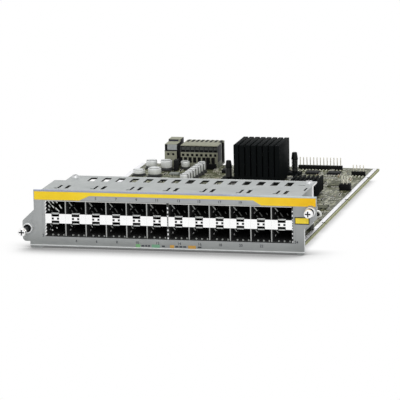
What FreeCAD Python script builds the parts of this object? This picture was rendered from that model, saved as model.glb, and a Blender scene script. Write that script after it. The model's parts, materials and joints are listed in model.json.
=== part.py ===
import FreeCAD, Part
import math
import os
import re
import Sketcher

# A line card for a chassis switch: a folded steel face plate carries two stacked cages with
# twelve optics ports each, over a long circuit board with its backplane connectors behind.
# Work places are given from the upper left corner of the face plate: X to the right,
# Y to the rear from the plate's front face, Z up from the plate's feet. Each finished piece
# is then placed so that the frame's origin lies under the middle of the whole card.
# All sizes are in millimetres.

os.makedirs("parts", exist_ok=True)
DOC = FreeCAD.newDocument("line_card")

# The driving sizes, piece by piece
SIZES = {
    # face plate, its ears and feet
    "panel_width": 196.7, "panel_height": 40.3, "sheet_gauge": 1.2, "bend_outside": 1.0, "bend_inside": 0.5,
    "ear_reach": 8.3, "ear_shoulder": 26.4, "ear_top": 18.6, "ear_floor": 4.4, "ear_round": 2.6,
    "foot_reach": 3.1, "foot_width": 8.3, "right_foot_width": 5.4, "sill_lift": 0.8, "lip_depth": 6.0,
    "lower_inset": 8.3, "notch_low": 18.2, "notch_high": 24.7, "corner_round": 1.2, "foot_round": 1.6,
    "right_foot_round": 2.8,
    # folded top and its side walls
    "flange_left": 5.4, "flange_inset": 10.5, "flange_rear_margin": 8.0, "shoulder_depth": 35.5,
    "shoulder_step": 7.8, "side_wall_start": 3.0, "side_wall_floor": 14.0, "right_wall_depth": 41.5,
    "window_first": 31.0, "window_pitch": 9.9, "window_width": 4.8,
    "window_front": 34.5, "window_length": 12.8,
    "lance_first": 14.6, "lance_pitch": 25.4, "lance_front": 7.5, "lance_length": 11.0,
    "lance_width": 1.2, "lance_gap": 5.2, "lance_hook": 1.8, "plain_lance_length": 10.5,
    "plain_lance_width": 1.6,
    "relief_width": 1.2, "relief_length": 5.0, "relief_front": 38.0, "relief_side_inset": 13.1,
    "relief_side_front": 20.0, "relief_side_length": 10.0,
    # circuit board
    "board_inset": 7.1, "board_right_inset": 9.6, "board_depth": 268.0, "board_gap": 0.5, "board_lift": 6.6,
    "board_thickness": 1.6, "edge_notch_depth": 1.2, "edge_notch_length": 3.2, "edge_notch_first": 68.0,
    "edge_notch_pitch": 82.0, "edge_notch_count": 3,
    "strip_width": 3.7, "strip_gauge": 0.3, "strip_front": 3.5, "strip_rear_gap": 2.0, "strip_clear": 1.0,
    # stacked cages
    "cage_inset": 7.9, "cage_gap": 0.3, "cage_wall": 0.5, "cage_depth": 40.0, "cage_proud": 0.5,
    "column_pitch": 14.25, "cage_right_inset": 16.0, "port_height": 8.7, "divider_height": 6.55,
    "opening_side": 1.7, "opening_rim": 0.15, "face_seam": 0.1,
    "connector_block_depth": 9.0, "card_slot_width": 11.0, "card_slot_height": 1.4, "card_slot_depth": 5.0,
    "light_pipe_side": 1.4, "light_pipe_offset": 1.85, "light_pipe_play": 0.05,
    "latch_width": 5.4, "latch_height": 1.9, "latch_depth": 2.6, "tongue_width": 4.2, "tongue_length": 3.6,
    "tongue_gauge": 0.3,
    "finger_width": 1.3, "finger_length": 2.4, "finger_rise": 0.5, "finger_pitch": 3.8, "finger_back": 8.0,
    "gasket_gauge": 0.25, "gasket_finger_height": 1.6, "gasket_finger_pitch": 2.7, "gasket_finger_count": 8,
    "gasket_finger_rise": 0.9, "gasket_length": 3.2, "gasket_set_back": 0.2,
    # graphics on the face plate
    "film_gauge": 0.15, "band_edge": 0.5, "band_top_gap": 1.1, "band_height": 5.7, "band_thin_height": 2.4,
    "band_left_end": 32.2, "band_left_rise": 7.2, "band_right_length": 37.8, "band_right_rise": 5.6,
    "patch_inset": 14.7, "patch_z": 21.3, "patch_width": 9.4, "patch_height": 4.3,
    # captive screws
    "left_screw_x": -3.9, "left_screw_z": 14.0, "right_screw_inset": 3.9, "right_screw_drop": 10.0,
    "left_screw_push": 0.0, "right_screw_push": 8.0,
    "screw_reach": 18.5, "screw_head_radius": 3.1, "screw_head_height": 3.0, "screw_bevel": 0.5,
    "shank_radius": 1.3, "thread_radius": 1.5, "thread_length": 5.0,
    "recess_width": 0.9, "recess_span": 3.8, "recess_depth": 1.3,
    "ferrule_radius": 3.5, "ferrule_neck_radius": 2.4, "ferrule_front": 4.0, "ferrule_rear": 1.0,
    "ferrule_play": 0.08, "counterbore_radius": 2.6, "counterbore_depth": 2.2,
    "clip_radius": 2.5, "clip_gauge": 0.8, "clip_play": 0.05, "clip_gap": 0.3,
    # flange screws and their standoffs
    "post_left": 17.4, "post_right_inset": 14.3, "post_clear": 2.15, "post_radius": 2.85,
    "post_bore_radius": 1.5,
    "pan_radius": 2.75, "pan_height": 1.9, "pan_bevel": 0.7, "pan_shank_radius": 1.45,
    "pan_shank_length": 6.0, "flange_hole_radius": 1.7, "board_screw_length": 4.0,
    # backplane connectors
    "overhang": 7.5, "connector_depth": 23.0,
    "signal_x": 41.2, "signal_width": 28.3, "signal_height": 17.3, "signal_cells": 8, "signal_pitch": 3.5,
    "signal_margin": 0.15, "cell_width": 3.0, "cell_height": 4.4, "cell_low": 12.2, "cell_depth": 4.0,
    "pin_hole_side": 1.4, "pin_row_high": 9.8, "pin_row_low": 6.6, "pin_hole_depth": 2.5,
    "comb_depth": 6.0, "comb_width": 1.8, "comb_cut": 1.4, "shield_gauge": 2.2, "shield_gap": 1.6,
    "shield_length": 9.5,
    "power_x": 28.9, "power_width": 9.3, "power_height": 17.6, "power_rise": 1.6, "power_step": 13.0,
    "power_hole_radius": 0.9, "power_hole_spacing": 3.8, "power_hole_height": 10.2, "power_ledge": 13.0,
    "power_ledge_depth": 1.0,
    # main heat sink on its chip
    "sink_x": 95.2, "sink_from_rear": 74.7, "sink_width": 34.0, "sink_depth": 35.0, "sink_top": 37.6,
    "sink_fins": 8, "sink_fin_gauge": 3.3, "sink_base": 3.4, "chip_height": 2.6, "chip_size": 31.0,
    "sink_ear": 9.5, "sink_ear_width": 9.0, "sink_ear_gauge": 2.0, "push_pin_radius": 1.5,
    "push_pin_head_radius": 2.55, "push_pin_head_height": 5.5, "push_pin_top": 25.4, "push_pin_play": 0.2,
    "rear_pin_rise": 2.2, "spring_radius": 2.5, "spring_play": 0.1,
    # second heat sink on its chip
    "side_sink_from_right": 42.1, "side_sink_from_rear": 119.7, "side_sink_width": 20.0,
    "side_sink_depth": 28.0, "side_sink_top": 20.4, "side_sink_fins": 7, "side_sink_fin_gauge": 1.2,
    "side_sink_base": 2.4, "side_chip_height": 1.8, "side_chip_size": 17.0,
    # pin headers near the rear edge and the right edge
    "pin_pitch": 2.54, "pin_side": 0.64,
    "long_header_from_right": 57.9, "long_header_from_rear": 9.1, "long_header_pins": 13, "header_depth": 2.5,
    "header_height": 3.0, "long_pin_top": 17.2,
    "short_header_from_right": 14.1, "short_header_from_rear": 28.7, "short_header_pins": 4,
    "short_pin_top": 16.0, "side_plug_from_right": 11.9, "side_plug_from_rear": 85.7,
    "side_plug_width": 8.0, "side_plug_depth": 5.0, "side_plug_height": 4.6, "side_plug_wall": 0.8,
    "side_pin_top": 15.8,
    # long row of can capacitors
    "row_can_x": 59.5, "row_can_from_rear": 80.2, "row_can_pitch": 7.0, "row_can_count": 8,
    "row_can_radius": 3.3, "row_can_height": 8.2, "row_can_lean": 0.25,
    "can_base_height": 0.9, "can_inset": 0.2,
    # ring coil that stands on edge near the right edge
    "coil_from_right": 7.1, "coil_share": 0.301, "coil_outer": 3.0, "coil_inner": 1.3, "coil_gauge": 2.4,
}

# Rows of like components on the board: first corner, pitch along X, count and size. The corner is given
# from the left end of the plate or from the board's right edge, and from the board's rear edge or as a
# share of its depth.
COMPONENT_ROWS = {
    "line_chips": {
        "x": 16.0, "share": 0.225,
        "wide": 14.0, "deep": 14.0, "tall": 1.4,
    },
    "line_crystals": {
        "x": 19.5, "share": 0.3, "pitch": 57.0, "count": 3,
        "wide": 5.0, "deep": 3.2, "tall": 1.1,
    },
    "memory_chips": {
        "x": 80.0, "share": 0.561, "pitch": 15.5, "count": 3,
        "wide": 11.0, "deep": 16.0, "tall": 1.2,
    },
    "logic_chips": {
        "from_right": 48.7, "from_rear": 28.9, "pitch": 16.2, "count": 2,
        "wide": 9.6, "deep": 8.6, "tall": 1.6,
    },
    "timer_chips": {
        "x": 112.0, "from_rear": 25.7, "pitch": 8.6, "count": 2,
        "wide": 5.2, "deep": 6.4, "tall": 1.7,
    },
    "edge_chips": {
        "from_right": 19.1, "share": 0.412, "pitch": 0.0, "count": 1,
        "wide": 12.0, "deep": 12.0, "tall": 1.6,
    },
    "flash_chips": {
        "from_right": 39.1, "share": 0.725, "pitch": 16.0, "count": 2,
        "wide": 12.0, "deep": 18.0, "tall": 1.3,
    },
    "driver_chips": {
        "x": 76.0, "from_rear": 31.7, "pitch": 9.0, "count": 2,
        "wide": 6.0, "deep": 8.0, "tall": 2.4,
    },
    "choke_blocks": {
        "x": 14.0, "share": 0.553, "pitch": 15.0, "count": 3,
        "wide": 11.0, "deep": 11.0, "tall": 5.2,
    },
    "bead_block": {
        "x": 38.6, "from_rear": 27.7, "pitch": 0.0, "count": 1,
        "wide": 2.8, "deep": 6.0, "tall": 8.0,
    },
    "converter_chips": {
        "x": 12.6, "share": 0.65, "pitch": 14.0, "count": 3,
        "wide": 7.0, "deep": 9.0, "tall": 1.9,
    },
    "bulk_caps": {
        "x": 20.0, "share": 0.441, "pitch": 11.0, "count": 5,
        "wide": 7.3, "deep": 4.3, "tall": 3.1,
    },
}

# Large can capacitors: centre, radius and height
CANS = {
    "corner_can": {"x": 20.0, "from_rear": 20.2, "radius": 4.35, "height": 6.5},
    "tall_can": {"x": 32.9, "from_rear": 26.3, "radius": 4.5, "height": 8.0},
    "middle_can": {"x": 45.6, "from_rear": 19.6, "radius": 3.5, "height": 6.4},
    "edge_can": {"x": 17.2, "from_rear": 47.9, "radius": 4.5, "height": 4.6},
    "front_can": {"x": 29.9, "from_rear": 50.6, "radius": 5.1, "height": 6.8},
}

# Sizes that follow from the driving ones
FOLLOWING = {
    "flange_right": "panel_width - flange_inset",
    "flange_depth": "post_y + flange_rear_margin",
    "window_count": "floor((flange_right - window_first) / window_pitch)",
    "lance_count": "floor((flange_right - lance_first) / lance_pitch) + 1",
    "relief_side": "panel_width - relief_side_inset",
    "column_count": "floor((panel_width - cage_inset - cage_right_inset) / (2 * column_pitch))",
    "board_width": "panel_width - board_inset - board_right_inset",
    "right_screw_x": "panel_width - right_screw_inset",
    "right_screw_z": "panel_height - right_screw_drop",
    "band_top": "panel_height - band_top_gap",
    "band_low": "band_top - band_height",
    "band_thin_low": "band_top - band_thin_height",
    "band_right_start": "panel_width - band_right_length",
    "patch_x": "panel_width - patch_inset",
    "post_right": "panel_width - post_right_inset",
    "post_y": "cage_depth + cage_wall + post_clear + post_radius",
    "line_chips_pitch": "2 * column_pitch",
    "line_chips_count": "column_count",
}
for table in (COMPONENT_ROWS, CANS):
    for row, fields in table.items():
        SIZES.update({"%s_%s" % (row, field): number for field, number in fields.items()})
for tie, axis, place in (("_from_rear", "_y", "sheet_gauge + board_gap + board_depth - "),
                         ("_from_right", "_x", "board_inset + board_width - "),
                         ("_share", "_y", "sheet_gauge + board_gap + board_depth * ")):
    for key in [key for key in SIZES if key.endswith(tie)]:
        FOLLOWING[key.removesuffix(tie) + axis] = place + key

SHEET = DOC.addObject("Spreadsheet::Sheet", "sizes")
ALIASES = list(SIZES) + list(FOLLOWING)
for line, alias in enumerate(ALIASES, start=1):
    SHEET.set("A%d" % line, alias)
    SHEET.setAlias("B%d" % line, alias)
for line, alias in enumerate(ALIASES, start=1):
    SHEET.set("B%d" % line, str(SIZES[alias]) if alias in SIZES else "=" + FOLLOWING[alias])
DOC.recompute()

# Levels and middles that many pieces share, as expressions of the driving sizes
BOARD_TOP = "(board_lift + board_thickness)"
BOARD_FRONT = "(sheet_gauge + board_gap)"
BOARD_REAR = "(sheet_gauge + board_gap + board_depth)"
BOARD_RIGHT = "(board_inset + board_width)"
FLANGE_UNDER = "(panel_height - sheet_gauge)"
LOWER_PORT = "(board_lift + board_thickness + cage_wall)"
DIVIDER_LOW = "(board_lift + board_thickness + cage_wall + port_height)"
UPPER_PORT = "(board_lift + board_thickness + cage_wall + port_height + divider_height)"
CAGE_CEILING = "(board_lift + board_thickness + cage_wall + 2 * port_height + divider_height)"
CAGE_WIDTH = "(column_count * column_pitch + cage_wall)"
CONNECTOR_REAR = "(sheet_gauge + board_gap + board_depth + overhang)"
CENTRE = ("(ear_reach - panel_width) / 2", "(screw_reach - %s) / 2" % CONNECTOR_REAR, "0")
NODES = []


def cell(text):
    """The expression with each alias written as a cell of the sheet."""
    return re.sub(r"[a-z][a-z_]*", lambda word: "sizes." + word.group() if word.group() in ALIASES
                  else word.group(), text)


def size(text):
    """What an expression of the sheet comes to now."""
    return float(SHEET.evalExpression(text))


def bind(item, **expressions):
    for prop, text in expressions.items():
        item.setExpression(prop, cell(text))


def put(item, place):
    for axis, text in zip("xyz", place):
        item.setExpression("Placement.Base." + axis, cell(text))


# Plain solids and their booleans


def block(name, corner, extent):
    box = DOC.addObject("Part::Box", name)
    bind(box, Length=extent[0], Width=extent[1], Height=extent[2])
    put(box, corner)
    return box


TURNS = {
    "x": FreeCAD.Rotation(FreeCAD.Vector(0, 1, 0), 90),
    "y": FreeCAD.Rotation(FreeCAD.Vector(1, 0, 0), -90),
    "z": FreeCAD.Rotation(),
}


def rod(name, start, radius, length, along="z"):
    cylinder = DOC.addObject("Part::Cylinder", name)
    bind(cylinder, Radius=radius, Height=length)
    cylinder.Placement = FreeCAD.Placement(FreeCAD.Vector(), TURNS[along])
    put(cylinder, start)
    return cylinder


def taper(name, start, radius, far_radius, length, along="z"):
    cone = DOC.addObject("Part::Cone", name)
    bind(cone, Radius1=radius, Radius2=far_radius, Height=length)
    cone.Placement = FreeCAD.Placement(FreeCAD.Vector(), TURNS[along])
    put(cone, start)
    return cone


def joined(name, pieces):
    fuse = DOC.addObject("Part::MultiFuse", name)
    fuse.Shapes = pieces
    return fuse


def group(name, pieces):
    """Separate solids that share one node."""
    together = DOC.addObject("Part::Compound", name)
    together.Links = pieces
    return together


def node(item, label):
    """Name a finished piece and place it in the card's frame."""
    if item.isDerivedFrom("Part::Primitive"):
        item = group(item.Name + "_piece", [item])
    item.Label = label
    put(item, CENTRE)
    NODES.append(item)
    return item


def less(name, base, tools):
    cut = DOC.addObject("Part::Cut", name)
    cut.Base = base
    cut.Tool = tools[0] if len(tools) == 1 else group(name + "_tools", tools)
    return cut


# Sketched features


def body(name):
    return DOC.addObject("PartDesign::Body", name)


def sketch(owner, name, role, offset="0"):
    """An empty sketch on one of the body's own planes, moved along the plane's normal."""
    plane = [part for part in owner.Origin.OriginFeatures if part.Role == role][0]
    made = owner.newObject("Sketcher::SketchObject", name)
    made.AttachmentSupport = [(plane, "")]
    made.MapMode = "FlatFace"
    made.setExpression("AttachmentOffset.Base.z", cell(offset))
    return made


def hold(drawn, kind, text, *spot):
    """One driving dimension of a sketch, bound to the sheet."""
    number = drawn.addConstraint(Sketcher.Constraint(kind, *spot, size(text)))
    drawn.setExpression("Constraints[%d]" % number, cell(text))


def outline(drawn, corners):
    """A closed outline of straight lines through the given corners."""
    first = drawn.GeometryCount
    count = len(corners)
    spots = [FreeCAD.Vector(size(x), size(y), 0) for x, y in corners]
    for index in range(count):
        drawn.addGeometry(Part.LineSegment(spots[index], spots[(index + 1) % count]))
    for index, (x, y) in enumerate(corners):
        line = first + index
        drawn.addConstraint(Sketcher.Constraint("Coincident", line, 2, first + (index + 1) % count, 1))
        hold(drawn, "DistanceX", x, -1, 1, line, 1)
        hold(drawn, "DistanceY", y, -1, 1, line, 1)


def rectangle(drawn, x, y, width, height):
    outline(drawn, [(x, y), ("%s + %s" % (x, width), y), ("%s + %s" % (x, width), "%s + %s" % (y, height)),
                    (x, "%s + %s" % (y, height))])


def circle(drawn, x, y, radius):
    number = drawn.GeometryCount
    middle = FreeCAD.Vector(size(x), size(y), 0)
    drawn.addGeometry(Part.Circle(middle, FreeCAD.Vector(0, 0, 1), size(radius)))
    hold(drawn, "Radius", radius, number)
    hold(drawn, "DistanceX", x, -1, 1, number, 3)
    hold(drawn, "DistanceY", y, -1, 1, number, 3)


def pad(owner, name, drawn, length, backwards=False):
    made = owner.newObject("PartDesign::Pad", name)
    made.Profile = drawn
    made.Reversed = backwards
    bind(made, Length=length)
    return made


def pocket(owner, name, drawn, length, backwards=False):
    """Cut a sketch into the body, and make sure that it took something away."""
    DOC.recompute()
    before = owner.Shape.Volume
    made = owner.newObject("PartDesign::Pocket", name)
    made.Profile = drawn
    made.Reversed = backwards
    bind(made, Length=length)
    DOC.recompute()
    if owner.Shape.Volume > before - 1e-6:
        raise ValueError(name + " cuts nothing")
    return made


def repeat(owner, name, feature, drawn, axis, pitch, count):
    """Copies of a feature in a straight row along an axis of its sketch."""
    made = owner.newObject("PartDesign::LinearPattern", name)
    made.Originals = [feature]
    made.Direction = (drawn, [axis])
    bind(made, Length="%s * (%s - 1)" % (pitch, count), Occurrences=count)
    owner.Tip = made
    return made


def round_edges(owner, name, radius, along, spots):
    """Round the straight edges that run along one axis through the given spots."""
    DOC.recompute()
    base = owner.Tip
    found = []
    for number, edge in enumerate(base.Shape.Edges, start=1):
        ends = [vertex.Point for vertex in edge.Vertexes]
        if len(ends) != 2:
            continue
        way = ends[1] - ends[0]
        across = [axis for axis in "xyz" if axis != along]
        if any(abs(getattr(way, axis)) > 1e-6 for axis in across):
            continue
        for spot in spots:
            if all(abs(getattr(ends[0], axis) - place) < 1e-6 for axis, place in zip(across, spot)):
                found.append("Edge%d" % number)
    if not found:
        raise ValueError(name + " finds no edge")
    made = owner.newObject("PartDesign::Fillet", name)
    made.Base = (base, found)
    bind(made, Radius=radius)
    owner.Tip = made
    return made


# The face plate: one sheet with a folded top, two folded side walls and a folded bottom lip


def face_plate():
    plate = body("plate_body")
    right_lower = "panel_width - lower_inset"
    front = sketch(plate, "plate_front", "XZ_Plane")
    outline(front, [
        ("0", "panel_height"), ("0", "ear_shoulder"), ("-ear_reach", "ear_top"), ("-ear_reach", "ear_floor"),
        ("-foot_reach", "ear_floor"), ("-foot_reach", "0"), ("foot_width - foot_reach", "0"),
        ("foot_width - foot_reach", "sill_lift"), (right_lower + " - right_foot_width", "sill_lift"),
        (right_lower + " - right_foot_width", "0"), (right_lower, "0"), (right_lower, "notch_low"),
        ("panel_width", "notch_high"), ("panel_width", "panel_height")])
    pad(plate, "plate_sheet", front, "sheet_gauge", backwards=True)

    top = sketch(plate, "plate_top", "XY_Plane", FLANGE_UNDER)
    outline(top, [
        ("flange_left", "0"), ("flange_right", "0"), ("flange_right", "flange_depth"),
        ("flange_left + shoulder_step", "flange_depth"), ("flange_left + shoulder_step", "shoulder_depth"),
        ("flange_left", "shoulder_depth")])
    pad(plate, "plate_flange", top, "sheet_gauge")

    for name, edge, depth in (("left", "flange_left", "shoulder_depth"),
                              ("right", "flange_right - sheet_gauge", "right_wall_depth")):
        wall = sketch(plate, "plate_%s_wall" % name, "YZ_Plane", edge)
        rectangle(wall, "side_wall_start", "side_wall_floor", "%s - side_wall_start" % depth,
                  "panel_height - side_wall_floor")
        pad(plate, "plate_%s_fold" % name, wall, "sheet_gauge")

    lip = sketch(plate, "plate_lip", "XY_Plane", "sill_lift")
    rectangle(lip, "foot_width - foot_reach", "0",
              right_lower + " - right_foot_width - foot_width + foot_reach", "lip_depth")
    pad(plate, "plate_lip_fold", lip, "sheet_gauge")

    hole = sketch(plate, "plate_port_hole", "XZ_Plane")
    rectangle(hole, "cage_inset - opening_side", BOARD_TOP + " - opening_rim",
              "2 * %s + cage_gap + 2 * opening_side" % CAGE_WIDTH,
              "%s - %s + cage_wall + 2 * opening_rim" % (CAGE_CEILING, BOARD_TOP))
    pocket(plate, "plate_port_cut", hole, "sheet_gauge")

    ferrules = sketch(plate, "plate_ferrule_holes", "XZ_Plane")
    circle(ferrules, "left_screw_x", "left_screw_z", "ferrule_neck_radius")
    circle(ferrules, "right_screw_x", "right_screw_z", "ferrule_neck_radius")
    pocket(plate, "plate_ferrule_cut", ferrules, "sheet_gauge")

    window = sketch(plate, "plate_window", "XY_Plane", "panel_height")
    rectangle(window, "window_first - window_width / 2", "window_front", "window_width", "window_length")
    row = pocket(plate, "plate_window_cut", window, "sheet_gauge")
    repeat(plate, "plate_window_row", row, window, "H_Axis", "window_pitch", "window_count")

    lance = sketch(plate, "plate_lance", "XY_Plane", "panel_height")
    hook_rear = "lance_front + lance_width"
    outline(lance, [
        ("lance_first - lance_hook", "lance_front"), ("lance_first + lance_width", "lance_front"),
        ("lance_first + lance_width", "lance_front + lance_length"),
        ("lance_first", "lance_front + lance_length"),
        ("lance_first", hook_rear), ("lance_first - lance_hook", hook_rear)])
    rectangle(lance, "lance_first + lance_gap", "lance_front", "plain_lance_width", "plain_lance_length")
    pair = pocket(plate, "plate_lance_cut", lance, "sheet_gauge")
    repeat(plate, "plate_lance_row", pair, lance, "H_Axis", "lance_pitch", "lance_count")

    relief = sketch(plate, "plate_relief", "XY_Plane", "panel_height")
    rectangle(relief, "relief_side - relief_length - 2 * relief_width", "relief_front", "relief_length",
              "relief_width")
    rectangle(relief, "relief_side", "relief_side_front", "relief_width", "relief_side_length")
    for post in ("post_left", "post_right"):
        circle(relief, post, "post_y", "flange_hole_radius")
    pocket(plate, "plate_relief_cut", relief, "sheet_gauge")

    height, gauge = size("panel_height"), size("sheet_gauge")
    sill, ear = size("sill_lift"), -size("ear_reach")
    lower = size(right_lower)
    round_edges(plate, "plate_top_bend", "bend_outside", "x", [(0, height)])
    round_edges(plate, "plate_top_inner_bend", "bend_inside", "x", [(gauge, height - gauge)])
    round_edges(plate, "plate_lip_bend", "bend_outside", "x", [(0, sill)])
    ear_corners = [(ear, size("ear_floor")), (ear, size("ear_top"))]
    round_edges(plate, "plate_ear_corner", "ear_round", "y", ear_corners)
    round_edges(plate, "plate_foot_corner", "foot_round", "y", [(-size("foot_reach"), 0)])
    round_edges(plate, "plate_right_foot_corner", "right_foot_round", "y", [(lower, 0)])
    return node(plate, "face_plate")


def face_films():
    """The printed band along the top of the plate and the plain patch beside the right screw."""
    band = body("band_body")
    shape = sketch(band, "band_outline", "XZ_Plane")
    outline(shape, [
        ("band_edge", "band_top"), ("band_edge", "band_low"), ("band_left_end", "band_low"),
        ("band_left_end + band_left_rise", "band_thin_low"),
        ("band_right_start - band_right_rise", "band_thin_low"),
        ("band_right_start", "band_low"), ("panel_width - band_edge", "band_low"),
        ("panel_width - band_edge", "band_top")])
    pad(band, "band_film", shape, "film_gauge")
    around = sketch(band, "band_ferrule_gap", "XZ_Plane")
    circle(around, "right_screw_x", "right_screw_z", "ferrule_radius + band_edge")
    pocket(band, "band_ferrule_cut", around, "film_gauge", backwards=True)
    node(band, "colour_band")
    patch = block("patch_film", ("patch_x", "-film_gauge", "patch_z"),
                  ("patch_width", "film_gauge", "patch_height"))
    node(patch, "blank_patch")


# The two stacked cages, each with six columns of two ports


def cage_left_edge(side):
    return "cage_inset" if side == "left" else "(cage_inset + %s + cage_gap)" % CAGE_WIDTH


def column_middle(side, column):
    return "(%s + cage_wall / 2 + column_pitch * %g)" % (cage_left_edge(side), column + 0.5)


def columns():
    return range(int(size("column_count")))


def cage_cover(side):
    """Top and both outer walls, folded from one sheet."""
    left = cage_left_edge(side)
    right = "%s + %s" % (left, CAGE_WIDTH)
    roof = CAGE_CEILING + " + cage_wall"
    cover = body("cover_%s_body" % side)
    section = sketch(cover, "cover_%s_section" % side, "XZ_Plane")
    outline(section, [
        (left, BOARD_TOP), (left, roof), (right, roof), (right, BOARD_TOP),
        (right + " - cage_wall", BOARD_TOP), (right + " - cage_wall", CAGE_CEILING),
        (left + " + cage_wall", CAGE_CEILING), (left + " + cage_wall", BOARD_TOP)])
    pad(cover, "cover_%s_sheet" % side, section, "cage_depth", backwards=True)
    node(cover, "cage_cover_" + side)


def cage_floor(side):
    """The bottom sheet with three contact fingers pressed up in each lower port."""
    left = cage_left_edge(side)
    pieces = [block("floor_%s_sheet" % side, (left + " + cage_wall", "0", BOARD_TOP),
                    (CAGE_WIDTH + " - 2 * cage_wall", "cage_depth", "cage_wall"))]
    for column in columns():
        for step in (-1, 0, 1):
            x = "%s + finger_pitch * %d - finger_width / 2" % (column_middle(side, column), step)
            name = "floor_%s_finger_%d_%d" % (side, column, step + 1)
            pieces.append(block(name, (x, "finger_back", LOWER_PORT),
                                ("finger_width", "finger_length", "finger_rise")))
    node(joined("floor_%s" % side, pieces), "cage_floor_" + side)


def port_walls(side):
    """The five sheets that part the columns."""
    walls = []
    for column in columns()[1:]:
        x = "%s + column_pitch * %d" % (cage_left_edge(side), column)
        walls.append(block("wall_%s_%d" % (side, column), (x, "0", LOWER_PORT),
                           ("cage_wall", "cage_depth", "%s - %s" % (CAGE_CEILING, LOWER_PORT))))
    node(group("walls_%s" % side, walls), "port_walls_" + side)


def cage_back(side):
    left = cage_left_edge(side)
    back = block("back_%s" % side, (left, "cage_depth", BOARD_TOP),
                 (CAGE_WIDTH, "cage_wall", "%s + cage_wall - %s" % (CAGE_CEILING, BOARD_TOP)))
    node(back, "cage_back_" + side)


def row_dividers(side):
    """One folded channel a column between its two ports, with latch recesses and tongues."""
    dividers = []
    inner = "column_pitch - cage_wall"
    depth = "cage_depth - connector_block_depth"
    for column in columns():
        middle = column_middle(side, column)
        tag = "divider_%s_%d" % (side, column)
        left = "%s - (%s) / 2" % (middle, inner)
        face_left = "%s - (column_pitch - face_seam) / 2" % middle
        recess_left = "%s - latch_width / 2" % middle
        tongue_left = "%s - tongue_width / 2" % middle
        pieces = [
            block(tag + "_face", (face_left, "-cage_proud", DIVIDER_LOW),
                  ("column_pitch - face_seam", "cage_proud", "divider_height")),
            block(tag + "_low_sheet", (left, "0", DIVIDER_LOW), (inner, depth, "cage_wall")),
            block(tag + "_high_sheet", (left, "0", UPPER_PORT + " - cage_wall"), (inner, depth, "cage_wall")),
        ]
        recesses = [block("%s_recess_%s" % (tag, row), (recess_left, "-cage_proud", low),
                          ("latch_width", "cage_proud + latch_depth", "latch_height"))
                    for row, low in (("low", DIVIDER_LOW), ("high", UPPER_PORT + " - latch_height"))]
        folded = less(tag + "_folded", joined(tag + "_channel", pieces), recesses)
        tongues = [block("%s_tongue_%s" % (tag, row), (tongue_left, "-cage_proud", low),
                         ("tongue_width", "tongue_length", "tongue_gauge"))
                   for row, low in (("low", DIVIDER_LOW), ("high", UPPER_PORT + " - tongue_gauge"))]
        opening = "light_pipe_side + 2 * light_pipe_play"
        holes = [block("%s_hole_%d" % (tag, sign + 1),
                       (lamp_left(middle, sign) + " - light_pipe_play", "-cage_proud",
                        LAMP_LOW + " - light_pipe_play"), (opening, "cage_proud", opening))
                 for sign in (-1, 1)]
        dividers.append(less(tag, joined(tag + "_whole", [folded] + tongues), holes))
    node(group("dividers_%s" % side, dividers), "row_dividers_" + side)


LAMP_LOW = "(%s + divider_height / 2 - light_pipe_side / 2)" % DIVIDER_LOW


def lamp_left(middle, sign):
    return "%s + light_pipe_offset * %d - light_pipe_side / 2" % (middle, sign)


def light_pipes(side):
    """Clear square rods that carry the board's lamps to the two ends on each divider."""
    pipes = []
    for column in columns():
        for sign in (-1, 1):
            pipes.append(block("pipe_%s_%d_%d" % (side, column, sign + 1),
                               (lamp_left(column_middle(side, column), sign), "-cage_proud", LAMP_LOW),
                               ("light_pipe_side", "cage_proud + cage_depth - connector_block_depth",
                                "light_pipe_side")))
    node(group("pipes_%s" % side, pipes), "light_pipes_" + side)


def port_connectors(side):
    """One moulded block a column at the back of its ports, with a card slot for each."""
    blocks = []
    inner = "column_pitch - cage_wall"
    for column in columns():
        middle = column_middle(side, column)
        tag = "receptacle_%s_%d" % (side, column)
        corner = ("%s - (%s) / 2" % (middle, inner), "cage_depth - connector_block_depth", LOWER_PORT)
        solid = block(tag + "_block", corner,
                      (inner, "connector_block_depth", "%s - %s" % (CAGE_CEILING, LOWER_PORT)))
        slots = [block("%s_slot_%d" % (tag, row),
                       ("%s - card_slot_width / 2" % middle, "cage_depth - connector_block_depth",
                        "%s + (port_height - card_slot_height) / 2" % floor),
                       ("card_slot_width", "card_slot_depth", "card_slot_height"))
                 for row, floor in enumerate((LOWER_PORT, UPPER_PORT))]
        blocks.append(less(tag, solid, slots))
    node(group("receptacles_%s" % side, blocks), "port_connectors_" + side)


def gasket_strips():
    """Spring finger strips on the outer sides of the cages, against the rims of the port hole."""
    strips = []
    left_spine = "cage_inset - gasket_gauge"
    right_face = "cage_inset + 2 * %s + cage_gap" % CAGE_WIDTH
    for side, spine, finger in (("left", left_spine, left_spine + " - gasket_finger_rise"),
                                ("right", right_face, right_face + " + gasket_gauge")):
        height = "%s - %s" % (CAGE_CEILING, BOARD_TOP)
        pieces = [block("gasket_%s_spine" % side, (spine, "gasket_set_back", BOARD_TOP),
                        ("gasket_gauge", "gasket_length", height))]
        for index in range(int(size("gasket_finger_count"))):
            z = "%s + gasket_finger_pitch * %d + gasket_finger_height / 2" % (BOARD_TOP, index)
            pieces.append(block("gasket_%s_finger_%d" % (side, index), (finger, "gasket_set_back", z),
                                ("gasket_finger_rise", "gasket_length / 2", "gasket_finger_height")))
        strips.append(joined("gasket_" + side, pieces))
    node(group("gaskets", strips), "gasket_fingers")


# The circuit board and the plated strips along its guide edges


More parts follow.
